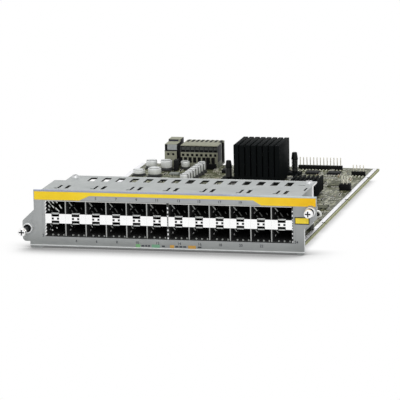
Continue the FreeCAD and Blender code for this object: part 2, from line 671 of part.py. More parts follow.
def circuit_board():
    board = body("board_body")
    plan = sketch(board, "board_plan", "XY_Plane", "board_lift")
    rectangle(plan, "board_inset", BOARD_FRONT, "board_width", "board_depth")
    pad(board, "board_sheet", plan, "board_thickness")
    notch = sketch(board, "board_notch", "XY_Plane", BOARD_TOP)
    rectangle(notch, BOARD_RIGHT + " - edge_notch_depth", "edge_notch_first", "edge_notch_depth",
              "edge_notch_length")
    cut = pocket(board, "board_notch_cut", notch, "board_thickness")
    repeat(board, "board_notches", cut, notch, "V_Axis", "edge_notch_pitch", "edge_notch_count")
    holes = sketch(board, "board_holes", "XY_Plane", BOARD_TOP)
    for post in ("post_left", "post_right"):
        circle(holes, post, "post_y", "flange_hole_radius")
    pocket(board, "board_hole_cut", holes, "board_thickness")
    node(board, "circuit_board")


def ground_strips():
    """Plated metal strips that the chassis card guides touch; the right one leaves room for its post."""
    rear = BOARD_REAR + " - strip_rear_gap"
    behind_cage = "cage_depth + cage_wall + strip_clear"
    node(block("strip_left", ("board_inset", behind_cage, BOARD_TOP),
               ("strip_width", "%s - (%s)" % (rear, behind_cage), "strip_gauge")), "ground_strip_left")
    right = BOARD_RIGHT + " - strip_width"
    strip = block("strip_right", (right, "strip_front", BOARD_TOP),
                  ("strip_width", rear + " - strip_front", "strip_gauge"))
    gaps = [block("strip_post_gap", (right, "post_y - post_radius - strip_clear", BOARD_TOP),
                  ("strip_width", "2 * (post_radius + strip_clear)", "strip_gauge"))]
    for index in range(int(size("edge_notch_count"))):
        corner = (BOARD_RIGHT + " - edge_notch_depth",
                  "edge_notch_first + edge_notch_pitch * %d" % index, BOARD_TOP)
        gaps.append(block("strip_notch_%d" % index, corner,
                          ("edge_notch_depth", "edge_notch_length", "strip_gauge")))
    node(less("strip_right_cut", strip, gaps), "ground_strip_right")


# Captive screws: a ferrule pressed into the plate, a screw that floats and turns in it,
# and the clip that rides on the screw behind the plate and keeps it in


def ferrule(side):
    x, z = side + "_screw_x", side + "_screw_z"
    tag = "ferrule_" + side
    outside = joined(tag + "_outside", [
        rod(tag + "_barrel", (x, "-ferrule_front", z), "ferrule_radius", "ferrule_front", "y"),
        rod(tag + "_neck", (x, "0", z), "ferrule_neck_radius", "sheet_gauge + ferrule_rear", "y")])
    bores = [
        rod(tag + "_bore", (x, "-ferrule_front", z), "thread_radius + ferrule_play",
            "ferrule_front + sheet_gauge + ferrule_rear", "y"),
        rod(tag + "_counterbore", (x, "-ferrule_front", z), "counterbore_radius", "counterbore_depth", "y")]
    node(less(tag, outside, bores), "screw_ferrule_" + side)


def cross_recess(tag, x, y, z, width, span, depth):
    """The two crossing slots of a screw drive, cut along Y from the given front."""
    return [block(tag + "_slot_across", ("%s - %s / 2" % (x, span), y, "%s - %s / 2" % (z, width)),
                  (span, depth, width)),
            block(tag + "_slot_up", ("%s - %s / 2" % (x, width), y, "%s - %s / 2" % (z, span)),
                  (width, depth, span))]


def captive_screw(side):
    x, z = side + "_screw_x", side + "_screw_z"
    tag = "screw_" + side
    front = side + "_screw_push - screw_reach"
    neck = side + "_screw_push + sheet_gauge + ferrule_rear + clip_gap - clip_play"
    thread = neck + " + clip_gauge + 2 * clip_play"
    whole = joined(tag + "_whole", [
        taper(tag + "_head", (x, front, z), "screw_head_radius - screw_bevel", "screw_head_radius",
              "screw_head_height", "y"),
        rod(tag + "_collar", (x, front + " + screw_head_height", z), "thread_radius",
            "screw_reach - screw_head_height + sheet_gauge + ferrule_rear + clip_gap - clip_play", "y"),
        rod(tag + "_neck", (x, neck, z), "shank_radius", "clip_gauge + 2 * clip_play", "y"),
        rod(tag + "_thread", (x, thread, z), "thread_radius", "thread_length", "y")])
    slots = cross_recess(tag, x, front, z, "recess_width", "recess_span", "recess_depth")
    node(less(tag, whole, slots), "captive_screw_" + side)


def retaining_clip(side):
    x, z = side + "_screw_x", side + "_screw_z"
    y = side + "_screw_push + sheet_gauge + ferrule_rear + clip_gap"
    disc = rod("clip_%s_disc" % side, (x, y, z), "clip_radius", "clip_gauge", "y")
    hole = rod("clip_%s_hole" % side, (x, y, z), "shank_radius + clip_play", "clip_gauge", "y")
    node(less("clip_" + side, disc, [hole]), "retaining_clip_" + side)


# The flange rests on two hexagonal posts at its rear corners


def posts_and_screws():
    posts, top_screws, board_screws = [], [], []
    for side in ("left", "right"):
        x = "post_" + side
        prism = DOC.addObject("Part::Prism", "post_%s_hex" % side)
        prism.Polygon = 6
        bind(prism, Circumradius="post_radius", Height="%s - %s" % (FLANGE_UNDER, BOARD_TOP))
        put(prism, (x, "post_y", BOARD_TOP))
        bore = rod("post_%s_bore" % side, (x, "post_y", BOARD_TOP), "post_bore_radius",
                   "%s - %s" % (FLANGE_UNDER, BOARD_TOP))
        posts.append(less("post_%s_tube" % side, prism, [bore]))
        top_screws.append(pan_screw("top_screw_" + side, x, "panel_height", "pan_shank_length", up=True))
        board_screws.append(pan_screw("board_screw_" + side, x, "board_lift", "board_screw_length", up=False))
    node(group("posts", posts), "flange_posts")
    node(group("top_screws", top_screws), "flange_screws")
    node(group("board_screws", board_screws), "post_screws")


def pan_screw(tag, x, seat, shank, up):
    """A screw that seats on the given level, head up or head down."""
    if up:
        head = taper(tag + "_head", (x, "post_y", seat), "pan_radius", "pan_radius - pan_bevel", "pan_height")
        stem = rod(tag + "_stem", (x, "post_y", seat + " - " + shank), "pan_shank_radius", shank)
        drive = "%s + pan_height - recess_depth" % seat
    else:
        head = taper(tag + "_head", (x, "post_y", seat + " - pan_height"), "pan_radius - pan_bevel",
                     "pan_radius", "pan_height")
        stem = rod(tag + "_stem", (x, "post_y", seat), "pan_shank_radius", shank)
        drive = "%s - pan_height" % seat
    slots = [block(tag + "_slot_x", (x + " - recess_span / 2", "post_y - recess_width / 2", drive),
                   ("recess_span", "recess_width", "recess_depth")),
             block(tag + "_slot_y", (x + " - recess_width / 2", "post_y - recess_span / 2", drive),
                   ("recess_width", "recess_span", "recess_depth"))]
    return less(tag, joined(tag + "_whole", [head, stem]), slots)


# Backplane connectors along the rear edge


def signal_connector():
    front = CONNECTOR_REAR + " - connector_depth"
    housing = body("signal_body")
    face = sketch(housing, "signal_face", "XZ_Plane", "-1 * (%s)" % front)
    rectangle(face, "signal_x", BOARD_TOP, "signal_width", "signal_height")
    pad(housing, "signal_block", face, "connector_depth", backwards=True)

    first = "signal_x + signal_margin + signal_pitch / 2"
    cells = sketch(housing, "signal_cells_sketch", "XZ_Plane", "-1 * (%s)" % front)
    rectangle(cells, first + " - cell_width / 2", BOARD_TOP + " + cell_low", "cell_width", "cell_height")
    cut = pocket(housing, "signal_cell_cut", cells, "cell_depth")
    repeat(housing, "signal_cell_row", cut, cells, "H_Axis", "signal_pitch", "signal_cells")

    holes = sketch(housing, "signal_holes", "XZ_Plane", "-1 * (%s)" % front)
    for row, x in (("pin_row_high", first), ("pin_row_low", first + " - signal_pitch / 2 + pin_hole_side")):
        rectangle(holes, x + " - pin_hole_side / 2", "%s + %s - pin_hole_side / 2" % (BOARD_TOP, row),
                  "pin_hole_side", "pin_hole_side")
    drilled = pocket(housing, "signal_hole_cut", holes, "pin_hole_depth")
    repeat(housing, "signal_hole_rows", drilled, holes, "H_Axis", "signal_pitch", "signal_cells")

    comb = sketch(housing, "signal_comb", "XY_Plane", BOARD_TOP + " + signal_height")
    rectangle(comb, first + " - comb_width / 2", CONNECTOR_REAR + " - comb_depth", "comb_width", "comb_depth")
    tooth = pocket(housing, "signal_comb_cut", comb, "comb_cut")
    repeat(housing, "signal_comb_row", tooth, comb, "H_Axis", "signal_pitch", "signal_cells")

    gap = sketch(housing, "signal_gap", "XY_Plane", BOARD_TOP + " + signal_height")
    rectangle(gap, "signal_x + signal_width - shield_gap", CONNECTOR_REAR + " - shield_length",
              "shield_gap", "shield_length - shield_gauge")
    pocket(housing, "signal_gap_cut", gap, "signal_height - comb_cut")
    node(housing, "signal_connector")


def power_connector():
    front = CONNECTOR_REAR + " - connector_depth"
    housing = body("power_body")
    side = sketch(housing, "power_side", "YZ_Plane", "power_x")
    top = BOARD_TOP + " + power_height"
    outline(side, [
        (front, BOARD_TOP), (front, BOARD_TOP + " + power_ledge"),
        (front + " + power_ledge_depth", BOARD_TOP + " + power_ledge"), (front + " + power_ledge_depth", top),
        (front + " + power_step", top), (front + " + power_step", top + " + power_rise"),
        (CONNECTOR_REAR, top + " + power_rise"), (CONNECTOR_REAR, BOARD_TOP)])
    pad(housing, "power_block", side, "power_width")
    holes = sketch(housing, "power_holes", "XZ_Plane", "-1 * (%s)" % front)
    for sign in (-1, 1):
        circle(holes, "power_x + power_width / 2 + power_hole_spacing / 2 * %d" % sign,
               BOARD_TOP + " + power_hole_height", "power_hole_radius")
    pocket(housing, "power_hole_cut", holes, "pin_hole_depth")
    blade = sketch(housing, "power_blade", "XZ_Plane", "-1 * (%s)" % CONNECTOR_REAR)
    for sign in (-1, 1):
        rectangle(blade, "power_x + power_width / 2 + power_hole_spacing / 2 * %d - power_hole_radius" % sign,
                  BOARD_TOP + " + power_hole_radius * 2", "power_hole_radius * 2", "power_height / 2")
    pocket(housing, "power_blade_cut", blade, "cell_depth", backwards=True)
    node(housing, "power_connector")


# Heat sinks: a base with straight fins, cut as slots between them


def finned_block(name, x, y, bottom, width, depth, top, fins, gauge, base):
    """A block whose slots leave the given number of fins running to the rear."""
    pitch = "((%s - %s) / (%s - 1))" % (width, gauge, fins)
    sink = body(name + "_body")
    face = sketch(sink, name + "_face", "XZ_Plane", "-1 * (%s)" % y)
    rectangle(face, x, bottom, width, "%s - (%s)" % (top, bottom))
    pad(sink, name + "_block", face, depth, backwards=True)
    slot = sketch(sink, name + "_slot", "XZ_Plane", "-1 * (%s)" % y)
    rectangle(slot, "%s + %s" % (x, gauge), "%s + %s" % (bottom, base), "%s - %s" % (pitch, gauge),
              "%s - (%s) - %s" % (top, bottom, base))
    cut = pocket(sink, name + "_slot_cut", slot, depth)
    repeat(sink, name + "_slots", cut, slot, "H_Axis", pitch, "(%s - 1)" % fins)
    return sink


EAR_LEFT = "(sink_x - sink_ear / 2)"
EAR_RIGHT = "(sink_x + sink_width + sink_ear / 2)"
PIN_FRONT = "(sink_y + sink_ear_width / 2)"
PIN_REAR = "(sink_y + sink_depth - sink_ear_width / 2)"


def main_heat_sink():
    bottom = BOARD_TOP + " + chip_height"
    sink = finned_block("sink", "sink_x", "sink_y", bottom, "sink_width", "sink_depth", "sink_top",
                        "sink_fins", "sink_fin_gauge", "sink_base")
    ears = sketch(sink, "sink_ears", "XY_Plane", bottom)
    rectangle(ears, "sink_x - sink_ear", "sink_y", "sink_ear + sink_fin_gauge", "sink_ear_width")
    rectangle(ears, "sink_x + sink_width - sink_fin_gauge", "sink_y + sink_depth - sink_ear_width",
              "sink_ear + sink_fin_gauge", "sink_ear_width")
    pad(sink, "sink_ear_pads", ears, "sink_ear_gauge")
    bores = sketch(sink, "sink_ear_bores", "XY_Plane", bottom)
    circle(bores, EAR_LEFT, PIN_FRONT, "push_pin_radius + push_pin_play")
    circle(bores, EAR_RIGHT, PIN_REAR, "push_pin_radius + push_pin_play")
    pocket(sink, "sink_ear_cut", bores, "sink_ear_gauge", backwards=True)
    node(sink, "main_heat_sink")
    chip = block("main_chip_block", ("sink_x + (sink_width - chip_size) / 2",
                                     "sink_y + (sink_depth - chip_size) / 2", BOARD_TOP),
                 ("chip_size", "chip_size", "chip_height"))
    node(chip, "main_chip")


def push_pins():
    """Barbed pins and their springs, which press the heat sink's two ears towards the board."""
    pins, springs = [], []
    ear_top = "(%s + chip_height + sink_ear_gauge)" % BOARD_TOP
    neck = "(push_pin_top - push_pin_head_height)"
    high_neck = "(push_pin_top + rear_pin_rise - push_pin_head_height)"
    for side, x, y, neck in (("front", EAR_LEFT, PIN_FRONT, neck), ("rear", EAR_RIGHT, PIN_REAR, high_neck)):
        tag = "push_pin_" + side
        pins.append(joined(tag, [
            rod(tag + "_stem", (x, y, BOARD_TOP), "push_pin_radius", "%s - %s" % (neck, BOARD_TOP)),
            taper(tag + "_head", (x, y, neck), "push_pin_head_radius", "push_pin_head_radius * 0.7",
                  "push_pin_head_height")]))
        sleeve = rod(tag + "_sleeve", (x, y, ear_top), "spring_radius", "%s - %s" % (neck, ear_top))
        hollow = rod(tag + "_hollow", (x, y, ear_top), "push_pin_radius + spring_play",
                     "%s - %s" % (neck, ear_top))
        springs.append(less(tag + "_spring", sleeve, [hollow]))
    node(group("push_pins", pins), "heat_sink_pins")
    node(group("push_pin_springs", springs), "heat_sink_springs")


def side_heat_sink():
    sink = finned_block("side_sink", "side_sink_x", "side_sink_y", BOARD_TOP + " + side_chip_height",
                        "side_sink_width", "side_sink_depth", "side_sink_top", "side_sink_fins",
                        "side_sink_fin_gauge", "side_sink_base")
    node(sink, "side_heat_sink")
    chip = block("side_chip_block", ("side_sink_x + (side_sink_width - side_chip_size) / 2",
                                     "side_sink_y + (side_sink_depth - side_chip_size) / 2", BOARD_TOP),
                 ("side_chip_size", "side_chip_size", "side_chip_height"))
    node(chip, "side_chip")


# Pin headers and the small plug near the right edge


def pin_header(name, pins):
    """A moulded strip and the square pins that pass through it and the board."""
    x, y = name + "_x", name + "_y"
    strip = block(name + "_strip", (x, y, BOARD_TOP),
                  ("pin_pitch * " + pins, "header_depth", "header_height"))
    top = name.replace("header", "pin") + "_top"
    holes, posts = [], []
    for index in range(int(size(pins))):
        spot = ("%s + pin_pitch * %g - pin_side / 2" % (x, index + 0.5),
                y + " + header_depth / 2 - pin_side / 2", BOARD_TOP)
        holes.append(block("%s_hole_%d" % (name, index), spot, ("pin_side", "pin_side", "header_height")))
        posts.append(block("%s_pin_%d" % (name, index), spot,
                           ("pin_side", "pin_side", "%s - %s" % (top, BOARD_TOP))))
    node(less(name + "_drilled", strip, holes), name)
    node(group(name + "_posts", posts), name + "_pins")


def side_plug():
    """A small open box connector with two pins."""
    solid = block("side_plug_box", ("side_plug_x", "side_plug_y", BOARD_TOP),
                  ("side_plug_width", "side_plug_depth", "side_plug_height"))
    well = block("side_plug_well", ("side_plug_x + side_plug_wall", "side_plug_y + side_plug_wall",
                                    BOARD_TOP + " + side_plug_wall"),
                 ("side_plug_width - 2 * side_plug_wall", "side_plug_depth - 2 * side_plug_wall",
                  "side_plug_height - side_plug_wall"))
    node(less("side_plug_shell", solid, [well]), "side_plug")
    pins = []
    for index in range(2):
        corner = ("side_plug_x + side_plug_width / 2 + pin_pitch * %g - pin_side / 2" % (index - 0.5),
                  "side_plug_y + side_plug_depth / 2 - pin_side / 2", BOARD_TOP + " + side_plug_wall")
        pins.append(block("side_plug_pin_%d" % index, corner,
                          ("pin_side", "pin_side", "side_pin_top - %s - side_plug_wall" % BOARD_TOP)))
    node(group("side_plug_pin_pair", pins), "side_plug_pins")


# Capacitors, coils and chips on the board


def can(tag, x, y, radius, height):
    """A metal can on a square moulded base."""
    foot = block(tag + "_foot", ("%s - %s" % (x, radius), "%s - %s" % (y, radius), BOARD_TOP),
                 ("2 * " + radius, "2 * " + radius, "can_base_height"))
    sleeve = rod(tag + "_sleeve", (x, y, BOARD_TOP + " + can_base_height"), radius + " - can_inset",
                 height + " - can_base_height")
    return foot, sleeve


def can_capacitors():
    row = []
    for index in range(int(size("row_can_count"))):
        x = "row_can_x + row_can_lean * %d" % index
        y = "row_can_y + row_can_pitch * %d" % index
        row.append(can("row_can_%d" % index, x, y, "row_can_radius", "row_can_height"))
    node(group("row_feet", [foot for foot, sleeve in row]), "capacitor_row_bases")
    node(group("row_sleeves", [sleeve for foot, sleeve in row]), "capacitor_row")
    large = [can(name, name + "_x", name + "_y", name + "_radius", name + "_height") for name in CANS]
    node(group("large_feet", [foot for foot, sleeve in large]), "large_capacitor_bases")
    node(group("large_sleeves", [sleeve for foot, sleeve in large]), "large_capacitors")


def component_row(name):
    """A row of like components along X, each a plain moulded body on the board."""
    extent = (name + "_wide", name + "_deep", name + "_tall")
    across = "%s_x + %s_pitch * " % (name, name)
    return [block("%s_%d" % (name, index), (across + str(index), name + "_y", BOARD_TOP), extent)
            for index in range(int(size(name + "_count")))]


def board_components():
    """Each kind of component on its own node; the small moulded chips share one."""
    small = []
    for name in COMPONENT_ROWS:
        if name in ("logic_chips", "timer_chips", "edge_chips", "driver_chips"):
            small += component_row(name)
        else:
            bodies = component_row(name)
            node(group(name + "_row", bodies) if len(bodies) > 1 else bodies[0], name)
    node(group("small_chip_rows", small), "small_chips")


def ring_coil():
    """A wound ring that stands on edge."""
    centre = ("coil_x", "coil_y", BOARD_TOP + " + coil_outer")
    ring = rod("coil_ring", centre, "coil_outer", "coil_gauge", "y")
    hole = rod("coil_hole", centre, "coil_inner", "coil_gauge", "y")
    node(less("coil", ring, [hole]), "ring_coil")


face_plate()
face_films()
for cage_side in ("left", "right"):
    cage_cover(cage_side)
    cage_floor(cage_side)
    port_walls(cage_side)
    cage_back(cage_side)
    row_dividers(cage_side)
    light_pipes(cage_side)
    port_connectors(cage_side)
    ferrule(cage_side)
    captive_screw(cage_side)
    retaining_clip(cage_side)
gasket_strips()
circuit_board()
ground_strips()
posts_and_screws()
signal_connector()
power_connector()
main_heat_sink()
push_pins()
side_heat_sink()
pin_header("long_header", "long_header_pins")
pin_header("short_header", "short_header_pins")
side_plug()
can_capacitors()
board_components()
ring_coil()
DOC.recompute()

for item in DOC.Objects:
    if "Invalid" in item.State or "Error" in item.State:
        raise RuntimeError("%s did not build: %s" % (item.Name, item.State))
for item in NODES:
    if item.Shape.isNull() or not item.Shape.isValid():
        raise RuntimeError("%s has no valid shape" % item.Label)
    item.Shape.exportStep("parts/%s.step" % item.Label)
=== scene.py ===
import json
import math
import random

import bmesh
import bpy
from mathutils import Matrix, Vector
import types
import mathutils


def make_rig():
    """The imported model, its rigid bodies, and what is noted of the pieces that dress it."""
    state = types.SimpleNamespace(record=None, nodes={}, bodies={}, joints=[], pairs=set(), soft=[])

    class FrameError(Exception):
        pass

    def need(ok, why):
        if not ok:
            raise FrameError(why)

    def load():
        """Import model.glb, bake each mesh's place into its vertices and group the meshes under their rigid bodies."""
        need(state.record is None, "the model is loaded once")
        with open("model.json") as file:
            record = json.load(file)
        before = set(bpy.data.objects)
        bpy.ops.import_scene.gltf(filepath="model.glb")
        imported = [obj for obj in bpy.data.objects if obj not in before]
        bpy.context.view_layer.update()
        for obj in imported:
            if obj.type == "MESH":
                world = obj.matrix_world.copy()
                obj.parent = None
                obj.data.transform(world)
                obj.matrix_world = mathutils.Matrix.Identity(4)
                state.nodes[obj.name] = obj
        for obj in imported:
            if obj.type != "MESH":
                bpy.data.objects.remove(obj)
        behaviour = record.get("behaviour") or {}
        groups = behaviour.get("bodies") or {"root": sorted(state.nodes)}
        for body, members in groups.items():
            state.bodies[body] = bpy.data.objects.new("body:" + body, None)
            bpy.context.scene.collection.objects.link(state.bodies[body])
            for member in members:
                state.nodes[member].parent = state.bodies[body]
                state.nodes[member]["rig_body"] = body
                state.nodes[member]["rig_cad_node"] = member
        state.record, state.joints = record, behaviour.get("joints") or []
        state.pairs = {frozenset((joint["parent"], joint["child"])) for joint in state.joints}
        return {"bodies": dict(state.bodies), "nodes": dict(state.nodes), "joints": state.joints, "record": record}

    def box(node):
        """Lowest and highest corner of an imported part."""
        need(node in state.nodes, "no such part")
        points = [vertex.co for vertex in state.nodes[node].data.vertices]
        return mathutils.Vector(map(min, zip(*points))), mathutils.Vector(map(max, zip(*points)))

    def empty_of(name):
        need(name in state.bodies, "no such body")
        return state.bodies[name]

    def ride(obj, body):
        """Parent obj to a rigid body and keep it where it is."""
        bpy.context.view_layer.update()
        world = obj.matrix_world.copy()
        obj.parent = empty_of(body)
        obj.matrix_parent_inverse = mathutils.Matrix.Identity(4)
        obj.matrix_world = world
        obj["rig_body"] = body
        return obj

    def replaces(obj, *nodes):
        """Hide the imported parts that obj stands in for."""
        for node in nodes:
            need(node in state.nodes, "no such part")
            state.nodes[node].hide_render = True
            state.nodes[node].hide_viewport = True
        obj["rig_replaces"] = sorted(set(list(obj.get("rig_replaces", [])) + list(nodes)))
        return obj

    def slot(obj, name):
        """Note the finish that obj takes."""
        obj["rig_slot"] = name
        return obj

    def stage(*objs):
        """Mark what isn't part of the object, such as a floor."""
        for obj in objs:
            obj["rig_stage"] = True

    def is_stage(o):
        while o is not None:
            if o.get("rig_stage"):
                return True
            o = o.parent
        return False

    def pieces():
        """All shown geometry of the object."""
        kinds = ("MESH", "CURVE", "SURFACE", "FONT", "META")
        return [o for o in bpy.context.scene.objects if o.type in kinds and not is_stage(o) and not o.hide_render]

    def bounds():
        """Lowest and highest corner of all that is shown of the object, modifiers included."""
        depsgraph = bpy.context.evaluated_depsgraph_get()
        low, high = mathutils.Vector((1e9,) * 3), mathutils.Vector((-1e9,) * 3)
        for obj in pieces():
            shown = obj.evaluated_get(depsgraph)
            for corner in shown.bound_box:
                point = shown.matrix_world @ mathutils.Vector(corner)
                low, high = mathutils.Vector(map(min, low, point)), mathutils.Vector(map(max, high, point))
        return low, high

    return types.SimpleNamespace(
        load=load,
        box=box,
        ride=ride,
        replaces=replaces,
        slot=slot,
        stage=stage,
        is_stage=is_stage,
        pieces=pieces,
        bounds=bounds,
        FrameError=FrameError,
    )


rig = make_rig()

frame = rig.load()
CAD_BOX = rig.bounds()
CARD = "card"
MM = 0.001

# The camera stands to the right of the card's front and a little above it, far off with a long lens,
# which gives the photograph's nearly parallel edges.
CAMERA_PLACE = Vector((603.06, -2533.87, 527.46)) * MM
CAMERA_AZIMUTH = math.radians(13.575)
CAMERA_DROP = math.radians(11.234)
CAMERA_ROLL = math.radians(-1.169)
FOCAL_PIXELS = 3742.9
PHOTO_PIXELS = 400
SENSOR_WIDTH = 36.0


def aim_camera():
    ahead = Vector((-math.sin(CAMERA_AZIMUTH) * math.cos(CAMERA_DROP),
                    math.cos(CAMERA_AZIMUTH) * math.cos(CAMERA_DROP), -math.sin(CAMERA_DROP)))
    level = Vector((math.cos(CAMERA_AZIMUTH), math.sin(CAMERA_AZIMUTH), 0))
    upright = level.cross(ahead)
    right = level * math.cos(CAMERA_ROLL) + upright * math.sin(CAMERA_ROLL)
    up = upright * math.cos(CAMERA_ROLL) - level * math.sin(CAMERA_ROLL)
    lens = bpy.data.cameras.new("photo_camera")
    lens.sensor_width = SENSOR_WIDTH
    lens.lens = FOCAL_PIXELS / PHOTO_PIXELS * SENSOR_WIDTH
    camera = bpy.data.objects.new("photo_camera", lens)
    turned = Matrix((right, up, -ahead)).transposed().to_4x4()
    camera.matrix_world = Matrix.Translation(CAMERA_PLACE) @ turned
    bpy.context.scene.collection.objects.link(camera)
    bpy.context.scene.camera = camera


aim_camera()

# The card stands on a white sweep under a broad overhead light, with a weaker light from the front. The
# sweep shows as plain white, and a painted shadow, drawn from ambient occlusion into its emitted colour,
# greys it only where the card stands over it or close to it.
FLOOR_HALF = 6.0
FLOOR_COLOUR = (0.90, 0.90, 0.90, 1)
SHADOW_SAMPLES = 24
SHADOW_REACH = 42 * MM
SHADOW_STOPS = [(0.0, 0.04), (0.42, 0.14), (0.56, 0.34), (0.70, 0.68), (0.84, 0.95), (0.92, 1.0)]
BOARD_SHADOW_REACH = 12 * MM
BOARD_SHADOW_STOPS = [(0.28, 0.40), (0.34, 0.52), (0.40, 0.72), (0.47, 0.87), (0.55, 0.95), (0.64, 1.0)]
BOARD_SHADOW_START = 14 * MM
BOARD_SHADOW_FULL = 40 * MM
SURROUND_FILL = 0.36
OVERHEAD_POWER = 1.15
OVERHEAD_TILT = (math.radians(-14), math.radians(-8), 0)
OVERHEAD_SPREAD = math.radians(38)
FRONT_POWER = 1.05
FRONT_TILT = (math.radians(62), 0, math.radians(24))
FRONT_SPREAD = math.radians(50)


def start_material(name, roughness, metallic=0.0, specular=0.5):
    made = bpy.data.materials.new(name)
    made.use_nodes = True
    tree = made.node_tree
    shader = tree.nodes["Principled BSDF"]
    shader.inputs["Roughness"].default_value = roughness
    shader.inputs["Metallic"].default_value = metallic
    shader.inputs["Specular IOR Level"].default_value = specular
    return made, tree, shader


def object_place(tree):
    return tree.nodes.new("ShaderNodeTexCoord").outputs["Object"]


def larger(tree, first, second):
    """The larger of two values."""
    made = tree.nodes.new("ShaderNodeMath")
    made.operation = "MAXIMUM"
    tree.links.new(first, made.inputs[0])
    tree.links.new(second, made.inputs[1])
    return made.outputs[0]


def spread(tree, value, low, high, start=0.0, end=1.0):
    """A value's range from start to end, drawn out from low to high and held at its ends."""
    made = tree.nodes.new("ShaderNodeMapRange")
    for socket, limit in ("From Min", start), ("From Max", end), ("To Min", low), ("To Max", high):
        made.inputs[socket].default_value = limit
    tree.links.new(value, made.inputs["Value"])
    return made.outputs["Result"]


def seen_directly(tree):
    """One where a ray from the camera, a reflection or clear plastic meets the surface, else nought."""
    rays = tree.nodes.new("ShaderNodeLightPath").outputs
    opaque = larger(tree, rays["Is Camera Ray"], rays["Is Glossy Ray"])
    return larger(tree, opaque, rays["Is Transmission Ray"])


def ramp(tree, value, stops):
    """Colours along a value, given as (place, colour) pairs."""
    made = tree.nodes.new("ShaderNodeValToRGB")
    while len(made.color_ramp.elements) < len(stops):
        made.color_ramp.elements.new(0.5)
    for element, (place, colour) in zip(made.color_ramp.elements, stops):
        element.position = place
        element.color = colour
    tree.links.new(value, made.inputs["Fac"])
    return made.outputs["Color"]


def blend_colours(tree, share, first, second, kind="MIX"):
    """Mix two colours; each is a colour or the output of another node."""
    mixer = tree.nodes.new("ShaderNodeMix")
    mixer.data_type = "RGBA"
    mixer.blend_type = kind
    for name, value in ("Factor", share), ("A", first), ("B", second):
        if isinstance(value, bpy.types.NodeSocket):
            tree.links.new(value, mixer.inputs[name])
        else:
            mixer.inputs[name].default_value = value
    return mixer.outputs["Result"]


def lay_floor():
    mesh = bpy.data.meshes.new("floor")
    bm = bmesh.new()
    bmesh.ops.create_grid(bm, x_segments=1, y_segments=1, size=FLOOR_HALF)
    bm.to_mesh(mesh)
    bm.free()
    floor = bpy.data.objects.new("floor", mesh)
    bpy.context.scene.collection.objects.link(floor)
    paper, tree, shader = start_material("white_sweep", 0.9, specular=0.0)
    shader.inputs["Base Color"].default_value = FLOOR_COLOUR
    # Painted shadow: ambient occlusion picks the floor's emitted grey, with a wide ramp by the plate and a tighter one
    # behind it.
    shades = []
    for reach, stops in (SHADOW_REACH, SHADOW_STOPS), (BOARD_SHADOW_REACH, BOARD_SHADOW_STOPS):
        open_sky = tree.nodes.new("ShaderNodeAmbientOcclusion")
        open_sky.samples = SHADOW_SAMPLES
        open_sky.inputs["Distance"].default_value = reach
        greys = [(place, (grey, grey, grey, 1)) for place, grey in stops]
        shades.append(ramp(tree, open_sky.outputs["AO"], greys))
    parts = tree.nodes.new("ShaderNodeSeparateXYZ")
    tree.links.new(object_place(tree), parts.inputs[0])
    front = CAD_BOX[0].y
    behind = spread(tree, parts.outputs["Y"], 0.0, 1.0, front + BOARD_SHADOW_START, front + BOARD_SHADOW_FULL)
    glow = tree.nodes.new("ShaderNodeEmission")
    tree.links.new(blend_colours(tree, behind, *shades), glow.inputs["Color"])
    either = tree.nodes.new("ShaderNodeMixShader")
    tree.links.new(seen_directly(tree), either.inputs[0])
    tree.links.new(shader.outputs[0], either.inputs[1])
    tree.links.new(glow.outputs[0], either.inputs[2])
    tree.links.new(either.outputs[0], tree.nodes["Material Output"].inputs["Surface"])
    mesh.materials.append(paper)
    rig.stage(floor)


def light_studio():
    world = bpy.data.worlds.new("white_surround")
    world.use_nodes = True
    tree = world.node_tree
    surround = tree.nodes["Background"].inputs
    surround["Color"].default_value = (1, 1, 1, 1)
    tree.links.new(spread(tree, seen_directly(tree), SURROUND_FILL, 1.0), surround["Strength"])
    bpy.context.scene.world = world
    for name, power, tilt, angle in (("overhead", OVERHEAD_POWER, OVERHEAD_TILT, OVERHEAD_SPREAD),
                                     ("front", FRONT_POWER, FRONT_TILT, FRONT_SPREAD)):
        lamp = bpy.data.lights.new(name, "SUN")
        lamp.energy = power
        lamp.angle = angle
        holder = bpy.data.objects.new(name, lamp)
        holder.rotation_euler = tilt
        bpy.context.scene.collection.objects.link(holder)
    bpy.context.scene.view_settings.view_transform = "Standard"


lay_floor()
light_studio()

# The face plate is one sheet of 1.2 mm steel, punched, folded over the cages and under the board, and
# powder painted a light grey. Its folds carry a painted lilac reflection and its edges painted highlights.
# Painted shade darkens its lower front, its right end and its slot walls, and its right wall has painted
# shade with a painted highlight stripe.
PLATE_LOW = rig.box("face_plate")[0]
EAR_REACH = 8.3
PAINT = (0.425, 0.440, 0.442, 1)
PAINT_SHADED_LOWER = (0.320, 0.335, 0.332, 1)
PAINT_TOP = (0.415, 0.440, 0.436, 1)
FOLD_REFLECTION = (0.35, 0.375, 0.485, 1)
FOLD_REFLECTION_END = (0.56, 0.64, 0.65, 1)
EDGE_HIGHLIGHT = (0.80, 0.82, 0.82, 1)
PAINT_SHADE_RIGHT = (0.87, 0.87, 0.87, 1)
WALL_SHADE = (0.20, 0.22, 0.215, 1)
WALL_LIT = (1, 1, 1, 1)
SLOT_SHADE = (0.010, 0.011, 0.010, 1)
ON_FRONT = ("Y", 0.4, 0.2)
ON_RIGHT_WALL = (("X", 186.12, 186.18), ("X", 186.9, 186.6), ("Y", 2.0, 2.4))
WALL_FRONT = ("Y", 46, 16)
WALL_REAR = ("Y", 36.0, 36.6)
LOWER_FRONT = ("Z", 15, 4)
RIGHT_FRONT = (ON_FRONT, ("X", 176, 186))
FLANGE_TOP = ("Y", 0.9, 1.3)
FOLD_TO_RIGHT = ("X", 130, 170)
UPPER_FOLD = (("Z", 39.2, 39.6), ("Y", 2.2, 1.0))
BELOW_FOLD = (("Z", 35.4, 36.9), ON_FRONT, ("Z", 38.5, 38.0))
